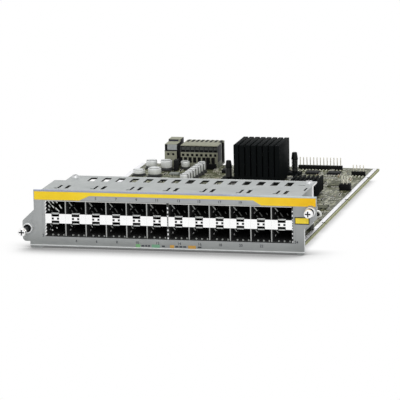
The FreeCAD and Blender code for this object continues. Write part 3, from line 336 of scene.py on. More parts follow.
SILL_EDGE = (("Z", 1.5, 1.8), ("Z", 2.5, 2.2), ON_FRONT)
FLANGE_REAR_EDGE = (("Y", 52.7, 53.0), ("X", 60, 120))
RIGHT_END_EDGE = (("X", 188.0, 188.15), ("Z", 18.2, 17.8))
SLOT_WALLS = (("Z", 40.27, 40.2), ("Z", 39.0, 39.1), ("Y", 3.4, 3.6), ("Y", 53.2, 53.0), ("X", 184.9, 184.7),
              ("X", 6.6, 6.8))
LANCE_PITCH = 25.4
LANCE_COUNT = 7
LANCE_RIMS = [(12.6, 7.0, 40.2, 15.8, 7.5, 40.33), (15.8, 7.0, 40.2, 16.2, 18.5, 40.33),
              (21.4, 7.5, 40.2, 22.2, 18.0, 40.33), (19.8, 7.0, 40.2, 21.9, 7.5, 40.33)]
GRAIN_HEIGHT = 0.04 * MM


def spot(x, y, z):
    """A place in the frame from millimetres right of, behind and above the plate's left end and feet."""
    return Vector((PLATE_LOW.x + (EAR_REACH + x) * MM, PLATE_LOW.y + y * MM, z * MM))


def noise(tree, scale, detail=3.0, roughness=0.5):
    """Grain with about the given number of lumps to the metre."""
    grain = tree.nodes.new("ShaderNodeTexNoise")
    grain.inputs["Scale"].default_value = scale
    grain.inputs["Detail"].default_value = detail
    grain.inputs["Roughness"].default_value = roughness
    tree.links.new(object_place(tree), grain.inputs["Vector"])
    return grain.outputs["Fac"]


def along(tree, axis, start, end):
    """Nought to one between two places along an axis, in work millimetres."""
    limits = [spot(place, place, place)["XYZ".index(axis)] for place in (start, end)]
    parts = tree.nodes.new("ShaderNodeSeparateXYZ")
    tree.links.new(object_place(tree), parts.inputs[0])
    return spread(tree, parts.outputs[axis], 0.0, 1.0, *limits)


def product(tree, *factors):
    result = factors[0]
    for factor in factors[1:]:
        made = tree.nodes.new("ShaderNodeMath")
        made.operation = "MULTIPLY"
        tree.links.new(result, made.inputs[0])
        tree.links.new(factor, made.inputs[1])
        result = made.outputs[0]
    return result


def zone(tree, *limits):
    """One within a box-shaped part given as (axis, start, end) limits, nought outside it."""
    return product(tree, *[along(tree, axis, start, end) for axis, start, end in limits])


def shade_parts(tree, colour, *tones):
    """Blend a tone over each box-shaped part, given as (tone, (axis, start, end), ...)."""
    for tone, *limits in tones:
        colour = blend_colours(tree, zone(tree, *limits), colour, tone)
    return colour


def finish_surface(tree, shader, colour, scale, depth, bump):
    """Mottle a colour a little and raise a fine grain."""
    low = (1 - depth, 1 - depth, 1 - depth, 1)
    high = (1 + depth, 1 + depth, 1 + depth, 1)
    mottle = ramp(tree, noise(tree, scale, 4), [(0.3, low), (0.7, high)])
    tree.links.new(blend_colours(tree, 1.0, colour, mottle, "MULTIPLY"), shader.inputs["Base Color"])
    grain = tree.nodes.new("ShaderNodeBump")
    grain.inputs["Strength"].default_value = bump
    grain.inputs["Distance"].default_value = GRAIN_HEIGHT
    tree.links.new(noise(tree, scale * 8, 2), grain.inputs["Height"])
    tree.links.new(grain.outputs["Normal"], shader.inputs["Normal"])


def plate_paint():
    made, tree, shader = start_material("plate_paint", 0.42, specular=0.3)
    # Painted shade: the front darkens towards the bottom and at its right end; the flange's top takes its own tone for
    # the light from above.
    grey = shade_parts(tree, PAINT, (PAINT_SHADED_LOWER, LOWER_FRONT))
    grey = blend_colours(tree, zone(tree, *RIGHT_FRONT), grey, PAINT_SHADE_RIGHT, "MULTIPLY")
    # Painted reflection: a cool lilac on the folds, turning a paler grey towards the right end.
    fold = shade_parts(tree, FOLD_REFLECTION, (FOLD_REFLECTION_END, FOLD_TO_RIGHT))
    # Painted highlights run along the sill, the flange's rear edge and the right end's edge; the right wall takes
    # painted shade and a painted highlight stripe, and the slot walls painted shade.
    grey = shade_parts(tree, grey, (PAINT_TOP, FLANGE_TOP), (fold, *UPPER_FOLD), (fold, *BELOW_FOLD),
                       (EDGE_HIGHLIGHT, *SILL_EDGE), (EDGE_HIGHLIGHT, *FLANGE_REAR_EDGE),
                       (EDGE_HIGHLIGHT, *RIGHT_END_EDGE), (WALL_SHADE, *ON_RIGHT_WALL, WALL_FRONT),
                       (WALL_LIT, *ON_RIGHT_WALL, WALL_REAR), (SLOT_SHADE, *SLOT_WALLS))
    finish_surface(tree, shader, grey, 110, 0.05, 0.10)
    return made


def plain_finish(name, colour, roughness, metallic=0.0, specular=0.5, scale=400, depth=0.06, bump=0.12):
    made, tree, shader = start_material(name, roughness, metallic, specular)
    finish_surface(tree, shader, colour, scale, depth, bump)
    return made


def box_at(bm, middle, size):
    """A box of a size about a middle, both in the frame's metres."""
    made = bmesh.ops.create_cube(bm, size=1)["verts"]
    bmesh.ops.scale(bm, vec=size, verts=made)
    bmesh.ops.translate(bm, vec=middle, verts=made)
    return made


def add_block(bm, low, high):
    """A box between two corners given as work places."""
    low = spot(*low)
    high = spot(*high)
    return box_at(bm, (low + high) / 2, high - low)


def add_blocks(bm, boxes, moved=0.0):
    """Boxes given as left, front, foot, right, rear and top, all moved right by some millimetres."""
    for left, front, foot, right, rear, top in boxes:
        add_block(bm, (left + moved, front, foot), (right + moved, rear, top))


def soften(bm, width, segments=1, edges=None, clamp=False):
    """Bevel edges, or all of them, by a width in millimetres."""
    bmesh.ops.bevel(bm, geom=list(bm.edges) if edges is None else edges, offset=width * MM, affect="EDGES",
                    offset_type="OFFSET", segments=segments, profile=0.5, clamp_overlap=clamp, material=-1)


def finish_piece(name, bm, materials, slot, body=CARD, smooth_below=35, outward=False):
    """Make an object of a bmesh, shade it, give it its finish and set it on its body."""
    if outward:
        bmesh.ops.remove_doubles(bm, verts=bm.verts, dist=1e-7)
        bmesh.ops.recalc_face_normals(bm, faces=bm.faces)
    for face in bm.faces:
        face.smooth = True
    for edge in bm.edges:
        edge.smooth = len(edge.link_faces) == 2 and edge.calc_face_angle(0) < math.radians(smooth_below)
    mesh = bpy.data.meshes.new(name)
    bm.to_mesh(mesh)
    bm.free()
    for one in materials if isinstance(materials, (list, tuple)) else [materials]:
        mesh.materials.append(one)
    made = bpy.data.objects.new(name, mesh)
    bpy.context.scene.collection.objects.link(made)
    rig.ride(made, body)
    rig.slot(made, slot)
    return made


def dress(node, materials, slot, bevel=0.0, angle=28, segments=2, mark=None):
    """A finer copy of a CAD node, with its triangles merged and its edges broken, which stands for it."""
    source = frame["nodes"][node]
    bm = bmesh.new()
    bm.from_mesh(source.data)
    bmesh.ops.remove_doubles(bm, verts=bm.verts, dist=1e-6)
    bmesh.ops.dissolve_limit(bm, angle_limit=math.radians(1.5), verts=bm.verts, edges=bm.edges)
    if mark:
        for face in bm.faces:
            face.material_index = mark(face.calc_center_median(), face.normal)
    if bevel:
        sharp = [edge for edge in bm.edges
                 if len(edge.link_faces) == 2 and edge.calc_face_angle() > math.radians(angle)]
        soften(bm, bevel, segments, sharp, clamp=True)
    made = finish_piece(node + "_finished", bm, materials, slot, source["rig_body"])
    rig.replaces(made, node)
    return made


def shade_lances():
    """Painted shade: dark rims beside the slots in the flange, which widen the slots' dark strokes."""
    bm = bmesh.new()
    for index in range(LANCE_COUNT):
        add_blocks(bm, LANCE_RIMS, LANCE_PITCH * index)
    finish_piece("slot_shade_rims", bm, plain_finish("slot_rim", SLOT_SHADE, 0.7, 0.0, 0.1), "plate_paint")


PLATE_PAINT = plate_paint()
dress("face_plate", PLATE_PAINT, "plate_paint", 0.16, angle=50)
shade_lances()

# The coloured band is screen printed film along the top of the plate, deep at both ends and thin between
# them. The small patch beside the right screw is the same film with a dark border.
BAND_YELLOW = (1.00, 0.700, 0.028, 1)
BAND_ORANGE = (1.00, 0.590, 0.014, 1)
BAND_SHADE = (1.00, 0.750, 0.050, 1)
PATCH_YELLOW = (1.00, 0.76, 0.060, 1)
PATCH_BORDER = (0.050, 0.050, 0.032, 1)
PATCH_LOW = (181.6, -0.15, 21.2)
PATCH_HIGH = (191.8, 0.0, 26.2)
PATCH_RIM = 0.65


def band_film():
    made, tree, shader = start_material("band_film", 0.45, specular=0.2)
    colour = shade_parts(tree, BAND_YELLOW, (BAND_SHADE, ("X", 25, 45)), (BAND_ORANGE, ("X", 140, 192)))
    finish_surface(tree, shader, colour, 160, 0.04, 0.05)
    return made


def lay_films():
    dress("colour_band", band_film(), "band_yellow")
    border = plain_finish("patch_border", PATCH_BORDER, 0.5, specular=0.2)
    yellow = plain_finish("patch_yellow", PATCH_YELLOW, 0.5, specular=0.2)
    bm = bmesh.new()
    add_block(bm, PATCH_LOW, PATCH_HIGH)
    front = min(bm.faces, key=lambda face: face.calc_center_median().y)
    bmesh.ops.inset_region(bm, faces=[front], thickness=PATCH_RIM * MM, use_even_offset=True)
    for face in bm.faces:
        face.material_index = 1 if face == front else 0
    patch = finish_piece("patch_finished", bm, [border, yellow], "band_yellow", outward=True)
    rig.replaces(patch, "blank_patch")


lay_films()

# Port numbers and a legend are printed on the plate in dark ink. The numbers are plain, and the legend's
# lamp colours stand beside plain dashes.
INK = (0.075, 0.080, 0.090, 1)
COLUMN_PITCH = 14.25
CAGE_LEFT = (7.9, 94.2)
CAGE_WALL = 0.25
COLUMN_MIDDLES = [left + CAGE_WALL + COLUMN_PITCH * (column + 0.5)
                  for left in CAGE_LEFT for column in range(6)]
WALL_MIDDLES = [left + CAGE_WALL + COLUMN_PITCH * column for left in CAGE_LEFT for column in range(1, 6)]
NUMBER_SIZE = 2.565
NUMBER_WEIGHT = 0.045
LOWER_NUMBER_Z = (5.3, 5.6)
UPPER_NUMBER_Z = 35.0
END_NUMBERS = {0: (6.2, 8.7), 11: (182.6, 8.9)}
UPPER_NUMBERS = range(2, 10)
LAMP_GREEN = (0.22, 0.48, 0.22, 1)
LAMP_TEAL = (0.20, 0.42, 0.27, 1)
LAMP_AMBER = (0.60, 0.34, 0.08, 1)
LEGEND = [("green", LAMP_GREEN, 71.2, 74.4), ("teal", LAMP_TEAL, 82.4, 88.0),
          ("amber", LAMP_AMBER, 95.1, 98.0), ("amber_pair", LAMP_AMBER, 107.8, 113.1)]
DASH_Z = (2.9, 4.0)
LAMP_Z = (2.3, 4.5)
LEGEND_DASHES = [(75.2, 77.2), (77.8, 79.2), (79.8, 81.2), (89.4, 91.6), (98.8, 101.0), (101.7, 103.6),
                 (104.3, 106.4), (114.4, 117.0)]
PRINT_LIFT = 0.05


def print_number(text, x, z):
    """One number as thin raised ink, centred on a work place on the plate's front."""
    curve = bpy.data.curves.new("number_" + text, "FONT")
    curve.body = text
    curve.size = NUMBER_SIZE
    curve.extrude = PRINT_LIFT
    curve.offset = NUMBER_WEIGHT
    curve.resolution_u = 2
    curve.align_x = "CENTER"
    curve.align_y = "CENTER"
    holder = bpy.data.objects.new("number_" + text, curve)
    mesh = bpy.data.meshes.new_from_object(holder)
    bpy.data.objects.remove(holder)
    bpy.data.curves.remove(curve)
    upright = Matrix.Rotation(math.radians(90), 4, "X")
    mesh.transform(Matrix.Translation(spot(x, 0, z)) @ upright @ Matrix.Scale(MM, 4))
    return mesh


def print_plate():
    ink = plain_finish("number_ink", INK, 0.6, specular=0.1)
    bm = bmesh.new()
    for index, middle in enumerate(COLUMN_MIDDLES):
        low = LOWER_NUMBER_Z[0] + (LOWER_NUMBER_Z[1] - LOWER_NUMBER_Z[0]) * index / 11
        bm.from_mesh(print_number(str(2 * index + 2), *END_NUMBERS.get(index, (middle, low))))
        if index in UPPER_NUMBERS:
            bm.from_mesh(print_number(str(2 * index + 1), middle, UPPER_NUMBER_Z))
    for start, end in LEGEND_DASHES:
        add_block(bm, (start, -PRINT_LIFT, DASH_Z[0]), (end, 0, DASH_Z[1]))
    finish_piece("plate_numbers", bm, ink, "plate_paint")
    for name, colour, start, end in LEGEND:
        bm = bmesh.new()
        add_block(bm, (start, -PRINT_LIFT, LAMP_Z[0]), (end, 0, LAMP_Z[1]))
        lamp = plain_finish("legend_" + name, colour, 0.5, specular=0.2)
        finish_piece("legend_" + name, bm, lamp, "plate_paint")


print_plate()

# Each cage is a folded cover, a floor and five walls of thin plated steel, pressed together and soldered
# to the board. Every face that looks into a port, the floor's front edge and the cover's top under the
# flange are painted near black as shade.
CAGE_TONE = (0.62, 0.62, 0.60, 1)
PORT_PAINTED_SHADE = (0.006, 0.007, 0.007, 1)
WALL_EDGE = (0.42, 0.43, 0.42, 1)
BOARD_TOP = 8.2
LOWER_PORT = 8.7
DIVIDER_LOW = 17.4
UPPER_PORT = 23.95
CEILING = 32.65
WITHIN_PORTS = (("Y", 0.15, 0.9), ("Y", 40.3, 39.9), ("Z", 8.0, 8.1), ("Z", 33.0, 32.75), ("X", 8.1, 8.35),
                ("X", 180.05, 179.8))
FLOOR_EDGE = (("Y", 0.4, 0.3), ("Z", 8.9, 8.8))
COVER_TOP = (("Z", 33.10, 33.14),)
WALL_FOLDS = [(-0.37, -0.35, LOWER_PORT, 0.37, 0.02, DIVIDER_LOW),
              (-0.37, -0.35, UPPER_PORT, 0.37, 0.02, CEILING)]
WALL_BUMPS = [(10.0, 2.4, (0.6, 3.4, 1.5))]
SHADED_BUMPS = [(21.0, 2.0, (0.5, 2.4, 1.4)), (10.0, 6.4, (0.5, 2.2, 1.2))]
FLOOR_BUMP_OFFSETS = (-2.5, 1.4, 5.3)
FLOOR_BUMP_DEPTH = 0.75
FLOOR_BUMP_HEIGHT = LOWER_PORT + 0.75
FLOOR_BUMP = (0.95, 0.8, 0.85)
FLOOR_RIB = [(-0.4, 0.8, LOWER_PORT, 0.4, 3.0, LOWER_PORT + 0.5)]
NEAR_DEPTH = 1.5
FAR_DEPTH = 2.5
FIRST_DEPTH = 0.9
LATCH_WIDTH = 0.62
LOWER_LATCH_WIDTH = 0.5
NEAR_LATCH = (-5.0, -0.7, -2.9, -3.3)
FAR_LATCHES = [(-1.6, -4.4, 0.4, -7.2, 0.55), (-3.6, -6.6, -2.6, -7.8, 0.55), (3.1, -4.6, 4.0, -6.0, 0.4)]
LOWER_LATCH = (-4.2, -0.9, -2.9, -2.5)
FIRST_PORT_SLATS = [(10.3, 32.6, 11.2, 31.4), (12.6, 32.6, 14.0, 31.0), (15.6, 32.5, 16.6, 31.3),
                    (10.2, 29.5, 11.1, 28.5), (12.8, 29.4, 14.0, 27.9), (17.9, 30.0, 19.4, 27.6),
                    (15.2, 27.9, 17.8, 25.4), (10.0, 26.9, 10.9, 26.0), (12.4, 12.8, 12.9, 12.0),
                    (15.6, 14.4, 16.1, 13.6)]


def cage_steel():
    """Plated steel outside, and painted near black as shade on the cover's top, the floor's front edge and every face
    that looks into a port.
    """
    made, tree, shader = start_material("cage_steel", 0.32, metallic=0.85)
    shaded = larger(tree, zone(tree, *WITHIN_PORTS), zone(tree, *FLOOR_EDGE))
    shaded = larger(tree, shaded, zone(tree, *COVER_TOP))
    colour = blend_colours(tree, shaded, CAGE_TONE, PORT_PAINTED_SHADE)
    finish_surface(tree, shader, colour, 260, 0.08, 0.10)
    tree.links.new(spread(tree, shaded, 0.85, 0.0), shader.inputs["Metallic"])
    tree.links.new(spread(tree, shaded, 0.32, 0.95), shader.inputs["Roughness"])
    return made


CAGE_STEEL = cage_steel()
EDGE_STEEL = plain_finish("wall_edge_steel", WALL_EDGE, 0.5, 0.2, scale=900)
# Lit and shaded copies of one steel for the spring bumps and latches: a near white painted highlight, a mid grey and a
# painted shade.
DOT_STEEL = plain_finish("spring_dot_highlight", (0.95, 0.97, 0.95, 1), 0.5, 0.0, scale=900)
FRONT_DOT_STEEL = plain_finish("floor_dot_steel", (0.42, 0.44, 0.42, 1), 0.5, 0.0, scale=900)
FAINT_STEEL = plain_finish("shaded_steel", (0.26, 0.27, 0.26, 1), 0.6, 0.0, 0.1, scale=900)


def build_cages():
    for side in ("left", "right"):
        for part in ("cage_cover_", "cage_floor_", "port_walls_", "cage_back_"):
            dress(part + side, CAGE_STEEL, "cage_steel")


def fold_wall_lips():
    """The walls' front edges, folded back on themselves, which makes them twice as thick."""
    bm = bmesh.new()
    for middle in WALL_MIDDLES:
        add_blocks(bm, WALL_FOLDS, middle)
    soften(bm, 0.12)
    finish_piece("wall_front_folds", bm, EDGE_STEEL, "cage_steel", outward=True)


def add_bump(bm, centre, size):
    """A small pressed bump, as a stretched low ball."""
    made = bmesh.ops.create_icosphere(bm, subdivisions=1, radius=0.5)["verts"]
    bmesh.ops.scale(bm, vec=Vector(size) * MM, verts=made)
    bmesh.ops.translate(bm, vec=spot(*centre), verts=made)


def press_wall_springs():
    """Spring bumps on each port's left wall and along the front of the lower floor, in lit and shaded copies of one
    steel: a near white painted highlight on the front wall bumps, painted shade on the deeper ones.
    """
    bm = bmesh.new()
    front = bmesh.new()
    faint = bmesh.new()
    for middle in COLUMN_MIDDLES:
        wall = middle - COLUMN_PITCH / 2 + 2 * CAGE_WALL
        for port in (LOWER_PORT, UPPER_PORT):
            for pressed, bumps in (bm, WALL_BUMPS), (faint, SHADED_BUMPS):
                for depth, rise, size in bumps:
                    add_bump(pressed, (wall, depth, port + rise), size)
        for offset in FLOOR_BUMP_OFFSETS:
            add_bump(front, (middle + offset, FLOOR_BUMP_DEPTH, FLOOR_BUMP_HEIGHT), FLOOR_BUMP)
            add_blocks(front, FLOOR_RIB, middle + offset)
    finish_piece("port_spring_bumps", bm, DOT_STEEL, "cage_steel")
    finish_piece("floor_spring_bumps", front, FRONT_DOT_STEEL, "cage_steel")
    finish_piece("port_shaded_bumps", faint, FAINT_STEEL, "cage_steel")


def add_slat(bm, start, end, depth, width, thick=0.5):
    """A thin bar seen from the front between two (x, z) places, at a depth behind the plate."""
    run = Vector((end[0] - start[0], 0, end[1] - start[1]))
    made = bmesh.ops.create_cube(bm, size=1)["verts"]
    bmesh.ops.scale(bm, vec=Vector((run.length, thick, width)) * MM, verts=made)
    bmesh.ops.rotate(bm, matrix=Matrix.Rotation(-math.atan2(run.z, run.x), 3, "Y"), verts=made)
    bmesh.ops.translate(bm, vec=spot((start[0] + end[0]) / 2, depth, (start[1] + end[1]) / 2), verts=made)


def hang_latches():
    """Thin sprung latches that hang at a slant from the ports' ceilings, in lit and shaded copies of one steel:
    painted shade on the near and far ones, and a painted highlight on the first column's.
    """
    near = bmesh.new()
    far = bmesh.new()
    bright = bmesh.new()
    for middle in COLUMN_MIDDLES:
        for (x, z, end_x, end_z), top, width in ((NEAR_LATCH, CEILING, LATCH_WIDTH),
                                                 (LOWER_LATCH, DIVIDER_LOW, LOWER_LATCH_WIDTH)):
            add_slat(near, (middle + x, top + z), (middle + end_x, top + end_z), NEAR_DEPTH, width)
        for x, z, end_x, end_z, width in FAR_LATCHES:
            add_slat(far, (middle + x, CEILING + z), (middle + end_x, CEILING + end_z), FAR_DEPTH, width)
    for x, z, end_x, end_z in FIRST_PORT_SLATS:
        add_slat(bright, (x, z), (end_x, end_z), FIRST_DEPTH, LATCH_WIDTH)
    finish_piece("latch_springs_near", near, FAINT_STEEL, "cage_steel")
    deep = plain_finish("far_shaded_steel", (0.085, 0.088, 0.086, 1), 0.8, 0.0, 0.1)
    finish_piece("latch_springs_far", far, deep, "cage_steel")
    lit = plain_finish("lit_steel", (0.66, 0.68, 0.66, 1), 0.5, 0.0, 0.2)
    finish_piece("first_port_springs", bright, lit, "cage_steel")


build_cages()
fold_wall_lips()
press_wall_springs()
hang_latches()

# Between the two rows each column has a folded divider of bright plated steel. Its face is notched above
# and below for the optics' latches, and two clear light pipes end in it.
DIVIDER_WHITE = (0.97, 0.97, 0.97, 1)
DIVIDER_PAINTED_SHADE = (0.008, 0.009, 0.009, 1)
PIPE_DARK = (0.004, 0.005, 0.005, 1)
TONGUE_GREY = (0.60, 0.62, 0.61, 1)
TONGUE_LIPS = [(-2.75, -0.35, UPPER_PORT + 0.02, 2.75, 0.5, UPPER_PORT + 0.72),
               (-2.35, -0.35, DIVIDER_LOW - 0.60, 2.35, 0.5, DIVIDER_LOW - 0.02)]
DIVIDER_JOINT = [(-0.7, -0.42, DIVIDER_LOW, 0.7, 0.05, UPPER_PORT)]


def divider_face(centre, normal):
    """Bright on the face, grey on the tongues, and painted near black as shade within the notches and behind the face.
    """
    if abs(normal.y + 1) < 0.01 and centre.y < spot(0, -0.3, 0).y:
        height = centre.z / MM
        slim = min(abs(height - DIVIDER_LOW - 0.15), abs(height - UPPER_PORT + 0.15)) < 0.1
        return 1 if slim else 0
    return 2


def build_dividers():
    finishes = [plain_finish("divider_bright", DIVIDER_WHITE, 0.22, 1.0, scale=200, depth=0.015, bump=0.03),
                plain_finish("divider_tongue", TONGUE_GREY, 0.45, 0.3, scale=600),
                plain_finish("divider_shade", DIVIDER_PAINTED_SHADE, 0.9, 0.0, 0.1, scale=600)]
    for side in ("left", "right"):
        dress("row_dividers_" + side, finishes, "divider_bright", mark=divider_face)
        dress("light_pipes_" + side, PIPE_END, "pipe_clear", 0.08)
    bm = bmesh.new()
    for middle in COLUMN_MIDDLES:
        add_blocks(bm, TONGUE_LIPS, middle)
    soften(bm, 0.2, 2)
    finish_piece("tongue_lips", bm, finishes[1], "divider_bright")
    bm = bmesh.new()
    for middle in WALL_MIDDLES:
        add_blocks(bm, DIVIDER_JOINT, middle)
    soften(bm, 0.05)
    finish_piece("divider_joints", bm, finishes[0], "divider_bright")


PIPE_END = plain_finish("pipe_unlit", PIPE_DARK, 0.25, 0.0, 0.3, scale=900)
build_dividers()

# Behind the ports sit moulded black receptacles, each with two rows of gold contacts in its slots.
RECEPTACLE_BLACK = (0.010, 0.010, 0.011, 1)
PORT_MIDDLE = 3.65
CONTACT_PITCH = 0.8
CONTACTS = [(-0.2, 31.4, 1.1, 0.2, 35.6, 1.35), (-0.2, 31.4, 0.05, 0.2, 35.6, 0.3)]


def build_receptacles():
    black = plain_finish("receptacle_black", RECEPTACLE_BLACK, 0.7, 0.0, 0.1, scale=900)
    for side in ("left", "right"):
        dress("port_connectors_" + side, black, "receptacle_black", 0.12)
    bm = bmesh.new()
    for middle in COLUMN_MIDDLES:
        for port in (LOWER_PORT, UPPER_PORT):
            row = [(left, front, port + PORT_MIDDLE + foot, right, rear, port + PORT_MIDDLE + top)
                   for left, front, foot, right, rear, top in CONTACTS]
            for pin in range(10):
                add_blocks(bm, row, middle + CONTACT_PITCH * (pin - 4.5))
    gold = plain_finish("contact_gold", (0.30, 0.22, 0.08, 1), 0.4, 0.6, scale=900)
    finish_piece("receptacle_contacts", bm, gold, "receptacle_black")


build_receptacles()

# Spring finger strips of plated steel fill the gaps between the cages and the rims of the port hole, and
# a narrower one covers the seam between the two cages. Dark strips behind the seam's fingers and the right
# chain are painted shade in those gaps.
FINGER_BRIGHT = (0.90, 0.91, 0.92, 1)
FINGER_SEED = 11
FINGER_PITCH = 3.1
FIRST_FINGER = BOARD_TOP + 0.9
SEAM_X = 94.05
SEAM_REACH = (0.55, 0.95)
RIGHT_CHAIN_X = 180.15
RIGHT_HALF = 0.42
RIGHT_REACH = (0.35, 0.85)
LEFT_FINGERS = (9.6, 11.9, 14.1, 16.4, 25.2, 27.6, 30.0, 31.9)
GASKET_GAP_SHADES = [(SEAM_X - 0.75, -0.25, BOARD_TOP, SEAM_X + 0.75, 0.02, CEILING + 0.5),
                (RIGHT_CHAIN_X - 0.5, -0.1, BOARD_TOP, RIGHT_CHAIN_X + 0.5, 0.8, CEILING + 0.4)]
GASKET_RAILS = [(6.1, 0.0, BOARD_TOP - 0.1, 7.85, 0.5, CEILING + 0.6),
                (180.65, 0.0, BOARD_TOP - 0.1, 182.0, 0.5, CEILING + 0.6)]


def add_finger(bm, x, front, level, half, reach):
    """One domed spring finger, as a block whose front is drawn in."""
    made = add_block(bm, (x - half, front, level - reach), (x + half, front + 0.4, level + reach))
    fore = [vert for vert in made if vert.co.y < spot(0, front + 0.2, 0).y]
    bmesh.ops.scale(bm, vec=(0.7, 1, 0.6), space=Matrix.Translation(-spot(x, 0, level)), verts=fore)


def build_gaskets():
    bright = plain_finish("finger_steel", FINGER_BRIGHT, 0.35, 0.5, scale=900, depth=0.08)
    shade = plain_finish("seam_shade", (0.055, 0.058, 0.056, 1), 0.6, 0.0, 0.1)
    chance = random.Random(FINGER_SEED)
    bm = bmesh.new()
    dark = bmesh.new()
    rails = bmesh.new()
    add_blocks(dark, GASKET_GAP_SHADES)
    add_blocks(rails, GASKET_RAILS)
    level = FIRST_FINGER
    while level < CEILING:
        in_divider = DIVIDER_LOW - 0.5 < level < UPPER_PORT
        half = 0.20 if in_divider else 0.50
        add_finger(bm, SEAM_X, -0.45, level, half, chance.uniform(*SEAM_REACH))
        add_finger(bm, RIGHT_CHAIN_X, -0.3, level, RIGHT_HALF, chance.uniform(*RIGHT_REACH))
        level += FINGER_PITCH * (0.55 if in_divider else 0.9)
    for z in LEFT_FINGERS:
        add_slat(bm, (7.9, z - 0.75), (8.9, z + 0.65), 0.1, 0.55)
    finish_piece("gasket_fingers_finished", bm, bright, "cage_steel", outward=True)
    finish_piece("gasket_gap_shades", dark, shade, "cage_steel")
    finish_piece("gasket_rails", rails, PLATE_PAINT, "plate_paint")
    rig.replaces(bpy.data.objects["gasket_fingers_finished"], "gasket_fingers")


build_gaskets()

# The circuit board is 1.6 mm glass laminate under an olive green resist, with plated tracks, pads and
# holes, and bare plated strips where the chassis guides touch it.
BOARD_OLIVE = (0.125, 0.132, 0.066, 1)
BOARD_SHADE = (0.045, 0.050, 0.024, 1)
TRACK_PALE = (0.290, 0.295, 0.195, 1)
SOLDER_SPECK = (0.62, 0.62, 0.50, 1)
DARK_SPECK = (0.008, 0.009, 0.007, 1)
PAD_TIN = (0.60, 0.60, 0.50, 1)
BOARD_EDGE = (0.30, 0.31, 0.14, 1)
PLATING = (0.90, 0.90, 0.93, 1)
STRIP_GAP = (0.055, 0.058, 0.032, 1)
STRIP_MARGIN = (0.42, 0.43, 0.24, 1)
MARGIN_ENDS = (1.7, 269.7)
MARGIN_NOTCHES = ((68.0, 71.2), (150.0, 153.2), (232.0, 235.2))
MARGIN_LEFT = 187.0
MARGIN_RIGHT = 188.5
BRIDGE = ((185.35, 41.5, 8.2), (187.1, 49.5, 8.5))
BOARD_UNDERSIDE = 6.6
PARTS_AREA = (("X", 183.0, 182.0), ("Z", 8.1, 8.15))
RIGHT_SIDE = (("Z", 8.15, 8.05), ("X", 187.0, 187.08))


def stripes(tree, axis, spacing, share):
    """Lines across an axis, some millimetres apart, each as wide as a share of that spacing."""
    wave = tree.nodes.new("ShaderNodeTexWave")
    wave.bands_direction = axis
    wave.wave_profile = "TRI"
    wave.inputs["Scale"].default_value = math.pi / 10 / (spacing * MM)
    wave.inputs["Distortion"].default_value = 0.0
    tree.links.new(object_place(tree), wave.inputs["Vector"])
    return ramp(tree, wave.outputs["Fac"], [(1 - share - 0.12, (0, 0, 0, 1)), (1 - share, (1, 1, 1, 1))])


def cells(tree, scale, low, high):
    """Scattered patches, one where a cell's own random value lies between two limits."""
    patches = tree.nodes.new("ShaderNodeTexVoronoi")
    patches.distance = "CHEBYCHEV"
    patches.inputs["Scale"].default_value = scale
    tree.links.new(object_place(tree), patches.inputs["Vector"])
    parts = tree.nodes.new("ShaderNodeSeparateColor")
    tree.links.new(patches.outputs["Color"], parts.inputs[0])
    return ramp(tree, parts.outputs[0], [(low, (0, 0, 0, 1)), (low + 0.02, (1, 1, 1, 1)),
                                         (high, (1, 1, 1, 1)), (high + 0.02, (0, 0, 0, 1))])


def board_resist():
    made, tree, shader = start_material("board_resist", 0.40, specular=0.15)
    colour = blend_colours(tree, noise(tree, 60, 4, 0.7), BOARD_SHADE, BOARD_OLIVE)
    vias = tree.nodes.new("ShaderNodeTexVoronoi")
    vias.inputs["Scale"].default_value = 420
    tree.links.new(object_place(tree), vias.inputs["Vector"])
    pads = ramp(tree, vias.outputs["Distance"], [(0.12, (1, 1, 1, 1)), (0.20, (0, 0, 0, 1))])
    field = zone(tree, *PARTS_AREA)
    for share, patches, tone in ((stripes(tree, "X", 6.9115, 0.22), (60, 0.15, 0.55), TRACK_PALE),
                                 (stripes(tree, "Y", 8.1681, 0.22), (75, 0.50, 0.9), TRACK_PALE),
                                 (pads, (90, 0.1, 0.5), PAD_TIN),
                                 (field, (520, 0.86, 0.98), DARK_SPECK),
                                 (field, (680, 0.04, 0.12), SOLDER_SPECK)):
        colour = blend_colours(tree, product(tree, share, cells(tree, *patches)), colour, tone)
    colour = shade_parts(tree, colour, (BOARD_EDGE, *RIGHT_SIDE))
    finish_surface(tree, shader, colour, 300, 0.10, 0.10)
    return made


def strip_finish():
    """Bright plating with a dark gap along its inner side."""
    made, tree, shader = start_material("strip_plating", 0.40, 0.6)
    colour = shade_parts(tree, STRIP_GAP, (PLATING, ("X", 184.15, 184.25)))
    finish_surface(tree, shader, colour, 220, 0.04, 0.12)
    return made


def margin_finish():
    """Bare laminate outside the strip, with a dark line where the plating stops."""
    made, tree, shader = start_material("board_margin", 0.5, specular=0.15)
    colour = shade_parts(tree, STRIP_MARGIN, (STRIP_GAP, ("X", 187.75, 187.65)),
                         (BOARD_EDGE, ("X", MARGIN_RIGHT - 0.1, MARGIN_RIGHT - 0.05)))
    finish_surface(tree, shader, colour, 300, 0.12, 0.12)
    return made


